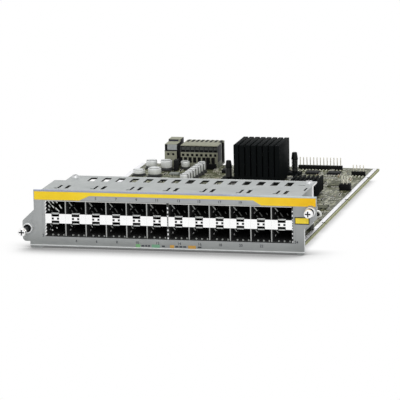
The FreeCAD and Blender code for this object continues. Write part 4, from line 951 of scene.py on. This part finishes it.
def lay_board():
    dress("circuit_board", board_resist(), "board_green")
    plating = plain_finish("left_plating", PLATING, 0.40, 0.6, scale=220, depth=0.04)
    dress("ground_strip_left", plating, "strip_plating", 0.05)
    right_plating = strip_finish()
    dress("ground_strip_right", right_plating, "strip_plating", 0.05)
    bm = bmesh.new()
    add_block(bm, *BRIDGE)
    finish_piece("strip_bridge", bm, right_plating, "strip_plating")
    bm = bmesh.new()
    ends = [MARGIN_ENDS[0]] + [edge for notch in MARGIN_NOTCHES for edge in notch] + [MARGIN_ENDS[1]]
    for front, rear in zip(ends[0::2], ends[1::2]):
        add_block(bm, (MARGIN_LEFT, front, BOARD_UNDERSIDE), (MARGIN_RIGHT, rear, BOARD_TOP))
    finish_piece("board_margin", bm, margin_finish(), "board_green")


lay_board()

# Small resistors and capacitors stand in rows and clusters all over the board, soldered at both ends.
# They keep clear of everything that is larger.
PARTS_SEED = 24
CLUSTERS = 330
PASSIVE_KINDS = [(1.6, 0.8, 0.55), (1.0, 0.5, 0.4), (2.0, 1.25, 0.8)]
PASSIVE_TONES = {"resistor_black": (0.02, 0.02, 0.02, 1), "capacitor_tan": (0.30, 0.22, 0.12, 1),
                 "capacitor_grey": (0.34, 0.33, 0.28, 1)}
TERMINAL_TIN = (0.66, 0.66, 0.60, 1)
BOARD_FIELD = (12.0, 56.0, 182.0, 266.0)
PART_GAP = 0.7
CLEARANCE = 1.2
END_PLACE = 0.42
END_HALF = 0.12
END_PROUD = 0.06
END_RISE = 0.04


def occupied(x, y):
    place = spot(x, y, BOARD_TOP)
    room = CLEARANCE * MM
    return any(low.x - room < place.x < high.x + room and low.y - room < place.y < high.y + room
               for low, high in STANDING)


def separate_solids(node):
    """The lowest and highest corners of each solid of a node, from the front left."""
    bm = bmesh.new()
    bm.from_mesh(frame["nodes"][node].data)
    bmesh.ops.remove_doubles(bm, verts=bm.verts, dist=1e-6)
    waiting = set(bm.verts)
    found = []
    while waiting:
        reached = [waiting.pop()]
        lump = []
        while reached:
            vert = reached.pop()
            lump.append(vert.co.copy())
            for edge in vert.link_edges:
                other = edge.other_vert(vert)
                if other in waiting:
                    waiting.remove(other)
                    reached.append(other)
        found.append((Vector([min(point[axis] for point in lump) for axis in range(3)]),
                      Vector([max(point[axis] for point in lump) for axis in range(3)])))
    bm.free()
    return sorted(found, key=lambda pair: (round(pair[0].y, 5), round(pair[0].x, 5)))


def board_bodies():
    """The footprints of all that stands on the board, solid by solid."""
    found = []
    for node in frame["nodes"]:
        if node not in ("circuit_board", "face_plate", "colour_band"):
            found += [pair for pair in separate_solids(node) if pair[0].z < (BOARD_TOP + 1.2) * MM]
    return found


def scatter_passives():
    chance = random.Random(PARTS_SEED)
    shells = {name: bmesh.new() for name in PASSIVE_TONES}
    ends = bmesh.new()
    for _ in range(CLUSTERS):
        x = chance.uniform(BOARD_FIELD[0], BOARD_FIELD[2])
        y = chance.uniform(BOARD_FIELD[1], BOARD_FIELD[3])
        length, width, height = chance.choice(PASSIVE_KINDS)
        bm = shells[chance.choice(list(shells))]
        turned = chance.random() < 0.5
        deep, wide = (length, width) if turned else (width, length)
        for step in range(chance.randint(2, 6)):
            left = x + (step * (width + PART_GAP) if turned else 0)
            front = y + (0 if turned else step * (width + PART_GAP))
            if occupied(left, front) or left > BOARD_FIELD[2] or front > BOARD_FIELD[3]:
                continue
            add_block(bm, (left - wide / 2, front - deep / 2, BOARD_TOP),
                      (left + wide / 2, front + deep / 2, BOARD_TOP + height))
            for sign in (-1, 1):
                end_x = left + (0 if turned else sign * length * END_PLACE)
                end_y = front + (sign * length * END_PLACE if turned else 0)
                half_x = width / 2 + END_PROUD if turned else length * END_HALF
                half_y = length * END_HALF if turned else width / 2 + END_PROUD
                add_block(ends, (end_x - half_x, end_y - half_y, BOARD_TOP),
                          (end_x + half_x, end_y + half_y, BOARD_TOP + height + END_RISE))
    for name, bm in shells.items():
        body = plain_finish(name, PASSIVE_TONES[name], 0.6, 0.0, 0.2, scale=900)
        finish_piece(name + "s", bm, body, "chip_black")
    tin = plain_finish("terminal_tin", TERMINAL_TIN, 0.4, 0.5, scale=900)
    finish_piece("passive_ends", ends, tin, "post_steel")


STANDING = board_bodies()
scatter_passives()

# Two hexagonal posts of plated steel carry the flange's rear corners, held by pan head screws.
POST_STEEL = (0.060, 0.062, 0.055, 1)
SCREW_ZINC = (0.72, 0.73, 0.74, 1)
POST_SCREWS = ((17.4, 45.5), (182.4, 45.5))
RECESS_SPAN = 1.5
RECESS_HALF = 0.28
RECESS_PAINTED_SHADE = (0.030, 0.032, 0.035, 1)


def set_posts():
    steel = plain_finish("post_steel", POST_STEEL, 0.6, 0.1, 0.2)
    dress("flange_posts", steel, "post_steel", 0.2)
    zinc = plain_finish("pan_zinc", SCREW_ZINC, 0.38, 0.3, scale=700, depth=0.12)
    dress("flange_screws", zinc, "screw_zinc", 0.25, angle=20)
    dress("post_screws", zinc, "screw_zinc", 0.25, angle=20)
    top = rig.box("flange_screws")[1].z / MM
    # A dark cross on top of each pan head stands for its cross recess as painted shade.
    bm = bmesh.new()
    for x, y in POST_SCREWS:
        for half_x, half_y in (RECESS_SPAN, RECESS_HALF), (RECESS_HALF, RECESS_SPAN):
            add_block(bm, (x - half_x, y - half_y, top - 0.3), (x + half_x, y + half_y, top + 0.02))
    finish_piece("pan_recesses", bm, plain_finish("pan_recess", RECESS_PAINTED_SHADE, 0.7, 0.0, 0.2), "screw_zinc")


set_posts()

# A captive screw stands out of each end of the plate. Its ferrule is pressed into the plate, a clip behind
# keeps it in, and its head is cross recessed. Its cross recess, the back of its head, its shank and the
# ferrule's bore are painted near black as shade.
FERRULE_NICKEL = (0.74, 0.75, 0.75, 1)
SHANK_PAINTED_SHADE = (0.020, 0.022, 0.024, 1)
SCREW_AXES = {"left": (-3.9, 14.0, -18.5), "right": (192.8, 30.3, -10.5)}
CROSS_REACH = 2.2
CROSS_DEPTHS = (0.1, 1.5)
SHANK_REACH = 2.5
SHANK_FRONT = 2.9
HEAD_BACK = 3.1
FERRULE_FRONT = -4.0
BORE_REACH = 2.7


def set_captive_screws():
    bright = plain_finish("head_zinc", (0.95, 0.95, 0.95, 1), 0.30, 0.7, scale=700, depth=0.03)
    recess = plain_finish("recess_shade", RECESS_PAINTED_SHADE, 0.7, 0.0, 0.2, scale=700)
    shank = plain_finish("shank_shade", SHANK_PAINTED_SHADE, 0.5, 0.0, 0.3, scale=900)
    nickel = plain_finish("ferrule_nickel", FERRULE_NICKEL, 0.35, 0.5, scale=500)
    clip = plain_finish("clip_steel", (0.45, 0.45, 0.45, 1), 0.4, 0.8, scale=500)
    for side, (x, z, front) in SCREW_AXES.items():
        axis = spot(x, 0, z)

        def part_of_screw(centre, normal):
            away = math.hypot(centre.x - axis.x, centre.z - axis.z) / MM
            depth = (centre.y - spot(0, front, 0).y) / MM
            if away < CROSS_REACH and CROSS_DEPTHS[0] < depth < CROSS_DEPTHS[1]:
                return 1
            return 2 if depth > HEAD_BACK or (away < SHANK_REACH and depth > SHANK_FRONT) else 0

        def part_of_ferrule(centre, normal):
            away = math.hypot(centre.x - axis.x, centre.z - axis.z) / MM
            depth = (centre.y - spot(0, FERRULE_FRONT, 0).y) / MM
            return 1 if away < BORE_REACH and depth > 0.05 else 0

        dress("captive_screw_" + side, [bright, recess, shank], "screw_zinc", 0.22, 25, mark=part_of_screw)
        dress("screw_ferrule_" + side, [nickel, recess], "ferrule_nickel", 0.3, 30, mark=part_of_ferrule)
        dress("retaining_clip_" + side, clip, "clip_steel", 0.1)


set_captive_screws()

# The backplane connectors are moulded in grey glass filled plastic, with rows of windows over their
# contacts, and stand on the board's rear edge.
HOUSING_GREY = (0.330, 0.335, 0.255, 1)
SIDE_SHADE_GREY = (0.205, 0.215, 0.180, 1)
BAR_GREY = (0.100, 0.105, 0.100, 1)
UPPER_GREY = (0.420, 0.440, 0.440, 1)
REAR_SHADE = (0.045, 0.045, 0.062, 1)
WINDOW_SHADE = (0.020, 0.022, 0.026, 1)
BLACK_SHADE = (0.006, 0.006, 0.007, 1)
FIRST_CELL = 43.1
CELL_PITCH = 3.5
CELL_DARK = [(-3.0, 254.06, 12.4, -0.5, 254.2, 16.5), (-0.95, 254.08, 17.2, 0.95, 254.3, 19.1),
             (-0.95, 268.2, 24.4, 0.95, 276.3, 25.52)]
CELL_PALE = [(-0.95, 276.3, 24.2, 0.95, 277.2, 25.7)]
CELL_BACKS = [(-1.2, 254.6, 21.9, 1.2, 256.2, 24.0)]
SLOT_PANEL = (41.4, 254.12, 13.6, 69.3, 254.25, 16.0)
UPRIGHT_PLACES = (62.2, 66.6)
UPRIGHT_PART = [(-0.95, 250.6, 11.6, 0.95, 253.0, 16.8), (-2.1, 249.8, 8.2, 2.1, 253.6, 12.0)]


def signal_housing():
    """Grey outside, with painted shade within the cells, the contact holes and the groove in the right side, and over
    the right side face.
    """
    made, tree, shader = start_material("signal_housing", 0.6, specular=0.15)
    within = (("Y", 254.22, 254.3), ("Y", 266.0, 265.9))
    colour = shade_parts(tree, HOUSING_GREY,
                         (SIDE_SHADE_GREY, ("X", 69.3, 69.45)),
                         (BAR_GREY, ("Z", 20.2, 20.3), ("Z", 24.95, 24.85), ("Y", 254.4, 254.3)),
                         (WINDOW_SHADE, ("Z", 13.0, 13.1), ("Z", 24.95, 24.85), *within),
                         (BLACK_SHADE, ("X", 67.7, 67.8), ("X", 69.45, 69.4), ("Y", 267.6, 267.65),
                          ("Z", 24.2, 24.1)))
    finish_surface(tree, shader, colour, 500, 0.10, 0.12)
    return made


def power_housing():
    """A light upper block, with painted shade in the cell at its left, on the ledge under it, in the holes below, on
    the rear block's front and over the right side.
    """
    made, tree, shader = start_material("power_housing", 0.6, specular=0.15)
    front = ("Y", 256.0, 255.9)
    colour = shade_parts(tree, HOUSING_GREY,
                         (UPPER_GREY, ("Z", 21.3, 21.5), ("Z", 25.7, 25.6), front),
                         (BLACK_SHADE, ("Z", 21.3, 21.5), ("Z", 25.7, 25.6), ("X", 31.0, 30.8), front),
                         (BLACK_SHADE, ("Z", 20.7, 20.8), ("Z", 21.6, 21.5), front),
                         (WINDOW_SHADE, ("Z", 16.5, 16.6), ("Z", 20.2, 20.1), ("Y", 254.3, 254.4)),
                         (REAR_SHADE, ("Z", 25.8, 25.9), ("Z", 27.3, 27.2), ("X", 36.6, 36.4)),
                         (BLACK_SHADE, ("X", 38.1, 38.15)))
    finish_surface(tree, shader, colour, 500, 0.10, 0.12)
    return made


def set_connectors():
    signal = signal_housing()
    dress("signal_connector", signal, "connector_grey", 0.1)
    dress("power_connector", power_housing(), "connector_grey", 0.2)
    # The black blocks over the signal housing's slots, holes and cell tops are painted shade.
    dark = bmesh.new()
    pale = bmesh.new()
    backs = bmesh.new()
    add_blocks(pale, [SLOT_PANEL])
    for cell in range(8):
        for bm, boxes in (dark, CELL_DARK), (pale, CELL_PALE), (backs, CELL_BACKS):
            add_blocks(bm, boxes, FIRST_CELL + CELL_PITCH * cell)
    for x in UPRIGHT_PLACES:
        add_blocks(dark, UPRIGHT_PART, x)
    soften(dark, 0.12)
    black = plain_finish("slot_black", BLACK_SHADE, 0.7, 0.0, 0.1)
    finish_piece("connector_slot_shades", dark, black, "chip_black")
    finish_piece("connector_covers", pale, signal, "connector_grey")
    grey = plain_finish("cell_grey", BAR_GREY, 0.6, 0.0, 0.1)
    finish_piece("cell_backs", backs, grey, "connector_grey")


set_connectors()

# The large heat sink is black anodised aluminium, extruded and sawn to length, and is pressed onto its
# chip by two sprung push pins. The small one is bonded to its chip.
SINK_BLACK = (0.0080, 0.0095, 0.0100, 1)
PIN_BLACK = (0.006, 0.007, 0.007, 1)
SPRING_TONE = (0.020, 0.021, 0.021, 1)
CHIP_TONE = (0.014, 0.015, 0.016, 1)
SPRING_TURNS = 8
STEPS_PER_TURN = 14
SPRING_RADIUS = 2.0
WIRE_RADIUS = 0.40


def set_heat_sinks():
    made, tree, shader = start_material("sink_anodised", 0.5, specular=0.005)
    brushed = tree.nodes.new("ShaderNodeMapping")
    brushed.inputs["Scale"].default_value = (1, 0.06, 1)
    tree.links.new(object_place(tree), brushed.inputs["Vector"])
    finish_surface(tree, shader, SINK_BLACK, 700, 0.18, 0.10)
    drawn = tree.nodes.new("ShaderNodeTexNoise")
    drawn.inputs["Scale"].default_value = 2500
    tree.links.new(brushed.outputs["Vector"], drawn.inputs["Vector"])
    tree.links.new(spread(tree, drawn.outputs["Fac"], 0.38, 0.62), shader.inputs["Roughness"])
    dress("main_heat_sink", made, "sink_black", 0.22)
    dress("side_heat_sink", made, "sink_black", 0.15)
    chip = plain_finish("chip_mould", CHIP_TONE, 0.65, 0.0, 0.08, scale=900)
    dress("main_chip", chip, "chip_black", 0.1)
    dress("side_chip", chip, "chip_black", 0.1)
    return chip


def wind_spring(bm, foot, top, radius):
    """A helix of round wire closed at both ends, made by spinning one ring up the pin."""
    count = SPRING_TURNS * STEPS_PER_TURN
    rise = (top - foot).z - 2 * WIRE_RADIUS * MM
    ring = bmesh.ops.create_circle(bm, cap_ends=True, radius=WIRE_RADIUS * MM, segments=6)["verts"]
    bmesh.ops.rotate(bm, matrix=Matrix.Rotation(math.radians(90), 3, "X"), verts=ring)
    bmesh.ops.translate(bm, vec=foot + Vector((radius * MM, 0, WIRE_RADIUS * MM)), verts=ring)
    start = ring + list({part for vert in ring for part in [*vert.link_edges, *vert.link_faces]})
    bmesh.ops.spin(bm, geom=start, cent=foot, axis=(0, 0, 1), dvec=(0, 0, rise / count),
                   angle=math.radians(360) * SPRING_TURNS, steps=count, use_merge=False)


def set_push_pins():
    black = plain_finish("push_pin_nylon", PIN_BLACK, 0.45, 0.0, 0.15, scale=900)
    dress("heat_sink_pins", black, "pin_black", 0.5, angle=30, segments=4)
    bm = bmesh.new()
    for low, high in separate_solids("heat_sink_springs"):
        middle = (low + high) / 2
        foot = Vector((middle.x, middle.y, low.z))
        wind_spring(bm, foot, Vector((middle.x, middle.y, high.z)), SPRING_RADIUS)
    spring = plain_finish("spring_oxide", SPRING_TONE, 0.4, 0.3, scale=900)
    made = finish_piece("sink_springs", bm, spring, "spring_steel", outward=True, smooth_below=70)
    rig.replaces(made, "heat_sink_springs")


CHIP_MOULD = set_heat_sinks()
set_push_pins()

# Pin headers and a small open plug stand near the rear and right edges: black mouldings with square pins
# plated pale gold.
HEADER_BLACK = (0.008, 0.008, 0.008, 1)
PIN_GOLD = (0.76, 0.73, 0.60, 1)
SOLDER_TIN = (0.92, 0.92, 0.78, 1)
SPOT_X = -(PLATE_LOW.x / MM + EAR_REACH)
SIDE_POSTS = (175.6, 177.6, 179.6)
SIDE_POST = [(-0.5, 193.1, BOARD_TOP, 0.5, 194.1, 16.6)]
TRACES = ((132.3, 252.8, 132.1, 229.5), (132.1, 221.5, 132.0, 203.0), (129.1, 258.0, 129.2, 231.0))
TRACE_HALF = 0.35
TRACE_HEIGHT = 0.35
JOINT_SIZE = (1.35, 1.5, 0.9)
JOINT_ROWS = (("long_header_pins", 259.2), ("short_header_pins", 239.4))
JOINT_SPAN = 4.2


def set_headers():
    black = plain_finish("header_mould", HEADER_BLACK, 0.6, 0.0, 0.08, scale=900)
    gold = plain_finish("pin_plating", PIN_GOLD, 0.4, 0.5, scale=900)
    for name in ("long_header", "short_header", "side_plug"):
        dress(name, black, "header_black", 0.2)
        dress(name + "_pins", gold, "pin_gold", 0.12)
    dots = bmesh.new()
    for pins, rear in JOINT_ROWS:
        for low, high in separate_solids(pins):
            x = (low.x + high.x) / 2 / MM + SPOT_X
            for y in (rear, rear - JOINT_SPAN):
                add_bump(dots, (x, y, BOARD_TOP + 0.1), JOINT_SIZE)
    for x in SIDE_POSTS:
        add_blocks(dots, SIDE_POST, x)
    for x, y, end_x, end_y in TRACES:
        across = Vector((end_y - y, x - end_x, 0)).normalized() * TRACE_HALF
        corners = ((x, y, -1), (x, y, 1), (end_x, end_y, 1), (end_x, end_y, -1))
        verts = [dots.verts.new(spot(a + sign * across.x, b + sign * across.y, BOARD_TOP + rise))
                 for rise in (0, TRACE_HEIGHT) for a, b, sign in corners]
        bmesh.ops.convex_hull(dots, input=verts)
    tin = plain_finish("solder_tin", SOLDER_TIN, 0.4, 0.3, scale=900)
    finish_piece("solder_joints", dots, tin, "pin_gold")


set_headers()

# Electrolytic capacitors: drawn aluminium cans with a rolled shoulder, each crimped onto a black moulded
# base with cut corners.
CAN_ALUMINIUM = (0.94, 0.96, 0.955, 1)
CAN_TOP = (0.68, 0.70, 0.695, 1)
CAN_RIM = (0.075, 0.078, 0.078, 1)
CAN_BASE = (0.020, 0.020, 0.021, 1)
CAN_STRIPE = math.radians(-6)
STRIPE_HALF = math.radians(22)
CAN_ROLL = 0.9 * MM
CAN_GROOVE = 0.28 * MM
CAN_DISH = 0.12 * MM
CAN_LEDGE = 0.25 * MM
CAN_SEAM = 0.3 * MM


def paint_can(bm, middle, dish, foot, top, striped):
    """Sort one can's faces: a pale dished top, a dark seam at the rim and foot, and a dark stripe."""
    for face in bm.faces:
        if face.tag:
            continue
        face.tag = True
        centre = face.calc_center_median()
        out = centre - middle
        if centre.z > top - CAN_LEDGE and math.hypot(out.x, out.y) < dish:
            face.material_index = 1
        elif centre.z > top - CAN_SEAM or centre.z < foot:
            face.material_index = 2
        elif striped and abs(math.atan2(out.y, out.x) - CAN_STRIPE) < STRIPE_HALF:
            face.material_index = 2


def build_cans():
    """Spun cans with a rounded shoulder, a groove above the base and a dished top."""
    shell = plain_finish("can_aluminium", CAN_ALUMINIUM, 0.45, 0.15, 0.3, scale=300, depth=0.06)
    top = plain_finish("can_top", CAN_TOP, 0.42, 0.25, 0.4, scale=300, depth=0.06)
    rim = plain_finish("can_rim", CAN_RIM, 0.5, 0.1, 0.2, scale=500)
    base = plain_finish("can_base", CAN_BASE, 0.5, 0.0, 0.2, scale=700)
    for node in ("capacitor_row", "large_capacitors"):
        bm = bmesh.new()
        for low, high in separate_solids(node):
            middle = (low + high) / 2
            radius = (high.x - low.x) / 2
            height = high.z - low.z
            roll = min(CAN_ROLL, height * 0.2)
            outline = [(0.0, 0.0), (radius - 0.1 * MM, 0.0), (radius, 0.12 * MM), (radius, 0.16 * height),
                       (radius - CAN_GROOVE, 0.22 * height), (radius, 0.28 * height), (radius, height - roll)]
            for step in range(1, 5):
                turn = math.radians(22.5 * step)
                outline.append((radius - roll * (1 - math.cos(turn)), height - roll * (1 - math.sin(turn))))
            outline += [(radius - roll - CAN_LEDGE, height - CAN_DISH), (0.0, height - CAN_DISH)]
            chain = [bm.verts.new((middle.x + out, middle.y, low.z + up)) for out, up in outline]
            edges = [bm.edges.new(pair) for pair in zip(chain, chain[1:])]
            bmesh.ops.spin(bm, geom=chain + edges, cent=middle, axis=(0, 0, 1), angle=math.radians(360),
                           steps=28, use_merge=True)
            paint_can(bm, middle, radius - roll, low.z + 0.2 * height, high.z, node == "capacitor_row")
        made = finish_piece(node + "_cans", bm, [shell, top, rim], "can_aluminium", CARD, 50, outward=True)
        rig.replaces(made, node)
    for node in ("capacitor_row_bases", "large_capacitor_bases"):
        dress(node, base, "can_base_black", 0.35, segments=1)


build_cans()

# Chips are black moulded packages with formed tin plated leads. Beside them stand ferrite chokes, crystals
# in steel cans, tantalum capacitors and one wound ring.
LEAD_TIN = (0.62, 0.62, 0.58, 1)
LEAD_PITCH = {"line_chips": 1.27, "memory_chips": 1.27, "small_chips": 1.27, "flash_chips": 1.0,
              "converter_chips": 1.27}
RING_WHITE = (0.80, 0.81, 0.78, 1)
PALE_MOULD = (0.110, 0.115, 0.080, 1)
FLAT_GREY = (0.25, 0.27, 0.25, 1)
LEAD_WIDTH = 0.4
LEAD_STEPS = ((0.0, 0.55, 0.45, 0.62), (0.45, 0.62, 0.0, 0.62), (0.5, 1.05, 0.0, 0.15))
RING_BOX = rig.box("ring_coil")
RING_BORE_RADIUS = 1.3
CENTRE_RADIUS = 1.5
CENTRE_THICK = 0.8
FLAT_PART = [(39.2, 224.2, BOARD_TOP, 46.2, 230.8, 9.7)]


def set_chips():
    pale, tree, shader = start_material("small_chip_mould", 0.65, specular=0.08)
    tone = blend_colours(tree, cells(tree, 640, 0.86, 0.98), PALE_MOULD, DARK_SPECK)
    tone = blend_colours(tree, cells(tree, 760, 0.05, 0.12), tone, TRACK_PALE)
    tone = shade_parts(tree, tone, (CHIP_TONE, ("Y", 225, 232)))
    finish_surface(tree, shader, tone, 500, 0.12, 0.12)
    leads = bmesh.new()
    for node, pitch in LEAD_PITCH.items():
        dress(node, pale if node in ("small_chips", "flash_chips") else CHIP_MOULD, "chip_black", 0.18)
        for low, high in separate_solids(node):
            count = int((high.y - low.y) / MM / pitch) - 1
            first = (low.y + high.y) / 2 - pitch * MM * (count - 1) / 2
            for index in range(count):
                y = first + pitch * MM * index
                for edge, out in (low.x, -1), (high.x, 1):
                    for near, far, under, top in LEAD_STEPS:
                        place = Vector((edge + out * (near + far) / 2 * MM, y,
                                        (BOARD_TOP + (under + top) / 2) * MM))
                        box_at(leads, place, Vector((far - near, LEAD_WIDTH, top - under)) * MM)
    tin = plain_finish("lead_tin", LEAD_TIN, 0.4, 0.5, scale=900)
    finish_piece("chip_leads", leads, tin, "post_steel")


def set_other_parts():
    ferrite = plain_finish("choke_ferrite", (0.045, 0.045, 0.045, 1), 0.6, 0.0, 0.2, scale=900)
    dress("choke_blocks", ferrite, "choke_grey", 0.5, segments=3)
    dress("bead_block", CHIP_MOULD, "chip_black", 0.2)
    can = plain_finish("crystal_can", (0.66, 0.66, 0.63, 1), 0.35, 0.8, scale=500)
    dress("line_crystals", can, "crystal_steel", 0.35, segments=3)
    tan = plain_finish("tantalum_mould", (0.42, 0.27, 0.09, 1), 0.55, 0.0, 0.2, scale=900)
    dress("bulk_caps", tan, "tantalum_tan", 0.2)


def mould_ring_centre():
    core = bmesh.new()
    bmesh.ops.create_cone(core, cap_ends=True, segments=20, radius1=CENTRE_RADIUS * MM,
                          radius2=CENTRE_RADIUS * MM, depth=CENTRE_THICK * MM)
    bmesh.ops.rotate(core, matrix=Matrix.Rotation(math.radians(90), 3, "X"), verts=core.verts)
    bmesh.ops.translate(core, vec=(RING_BOX[0] + RING_BOX[1]) / 2, verts=core.verts)
    finish_piece("ring_centre", core, CHIP_MOULD, "chip_black")


def mould_flat_inductor():
    flat = bmesh.new()
    add_blocks(flat, FLAT_PART)
    soften(flat, 0.25, 2)
    grey = plain_finish("flat_mould", FLAT_GREY, 0.6, 0.0, 0.2, scale=700)
    finish_piece("flat_inductor", flat, grey, "chip_black")


def wind_ring():
    """The wound ring as one thick tube, as deep along its bore as the coil."""
    low, high = RING_BOX
    centre = (low + high) / 2
    outer = (high.x - low.x) / 2
    bm = bmesh.new()
    tube = (outer - RING_BORE_RADIUS * MM) / 2
    half = (high.y - low.y) / 2
    section = bmesh.ops.create_circle(bm, radius=tube * 0.98, segments=12)["verts"]
    bmesh.ops.rotate(bm, matrix=Matrix.Rotation(math.radians(90), 3, "X"), verts=section)
    bmesh.ops.rotate(bm, matrix=Matrix.Rotation(math.radians(90), 3, "Z"), verts=section)
    bmesh.ops.scale(bm, vec=(1, half / tube, 1), verts=section)
    bmesh.ops.translate(bm, vec=centre + Vector((0, 0, outer - tube)), verts=section)
    edges = list({edge for vert in section for edge in vert.link_edges})
    bmesh.ops.spin(bm, geom=section + edges, cent=centre, axis=(0, 1, 0), angle=math.radians(360), steps=36,
                   use_merge=True)
    wound = plain_finish("ring_winding", RING_WHITE, 0.45, 0.2, scale=900, depth=0.12, bump=0.3)
    ring = finish_piece("ring_coil_wound", bm, wound, "coil_grey", outward=True, smooth_below=60)
    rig.replaces(ring, "ring_coil")


set_chips()
set_other_parts()
mould_ring_centre()
mould_flat_inductor()
wind_ring()

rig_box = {"cad": [list(corner) for corner in CAD_BOX], "visual": [list(corner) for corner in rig.bounds()]}
json.dump(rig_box, open("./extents.json", "w"))
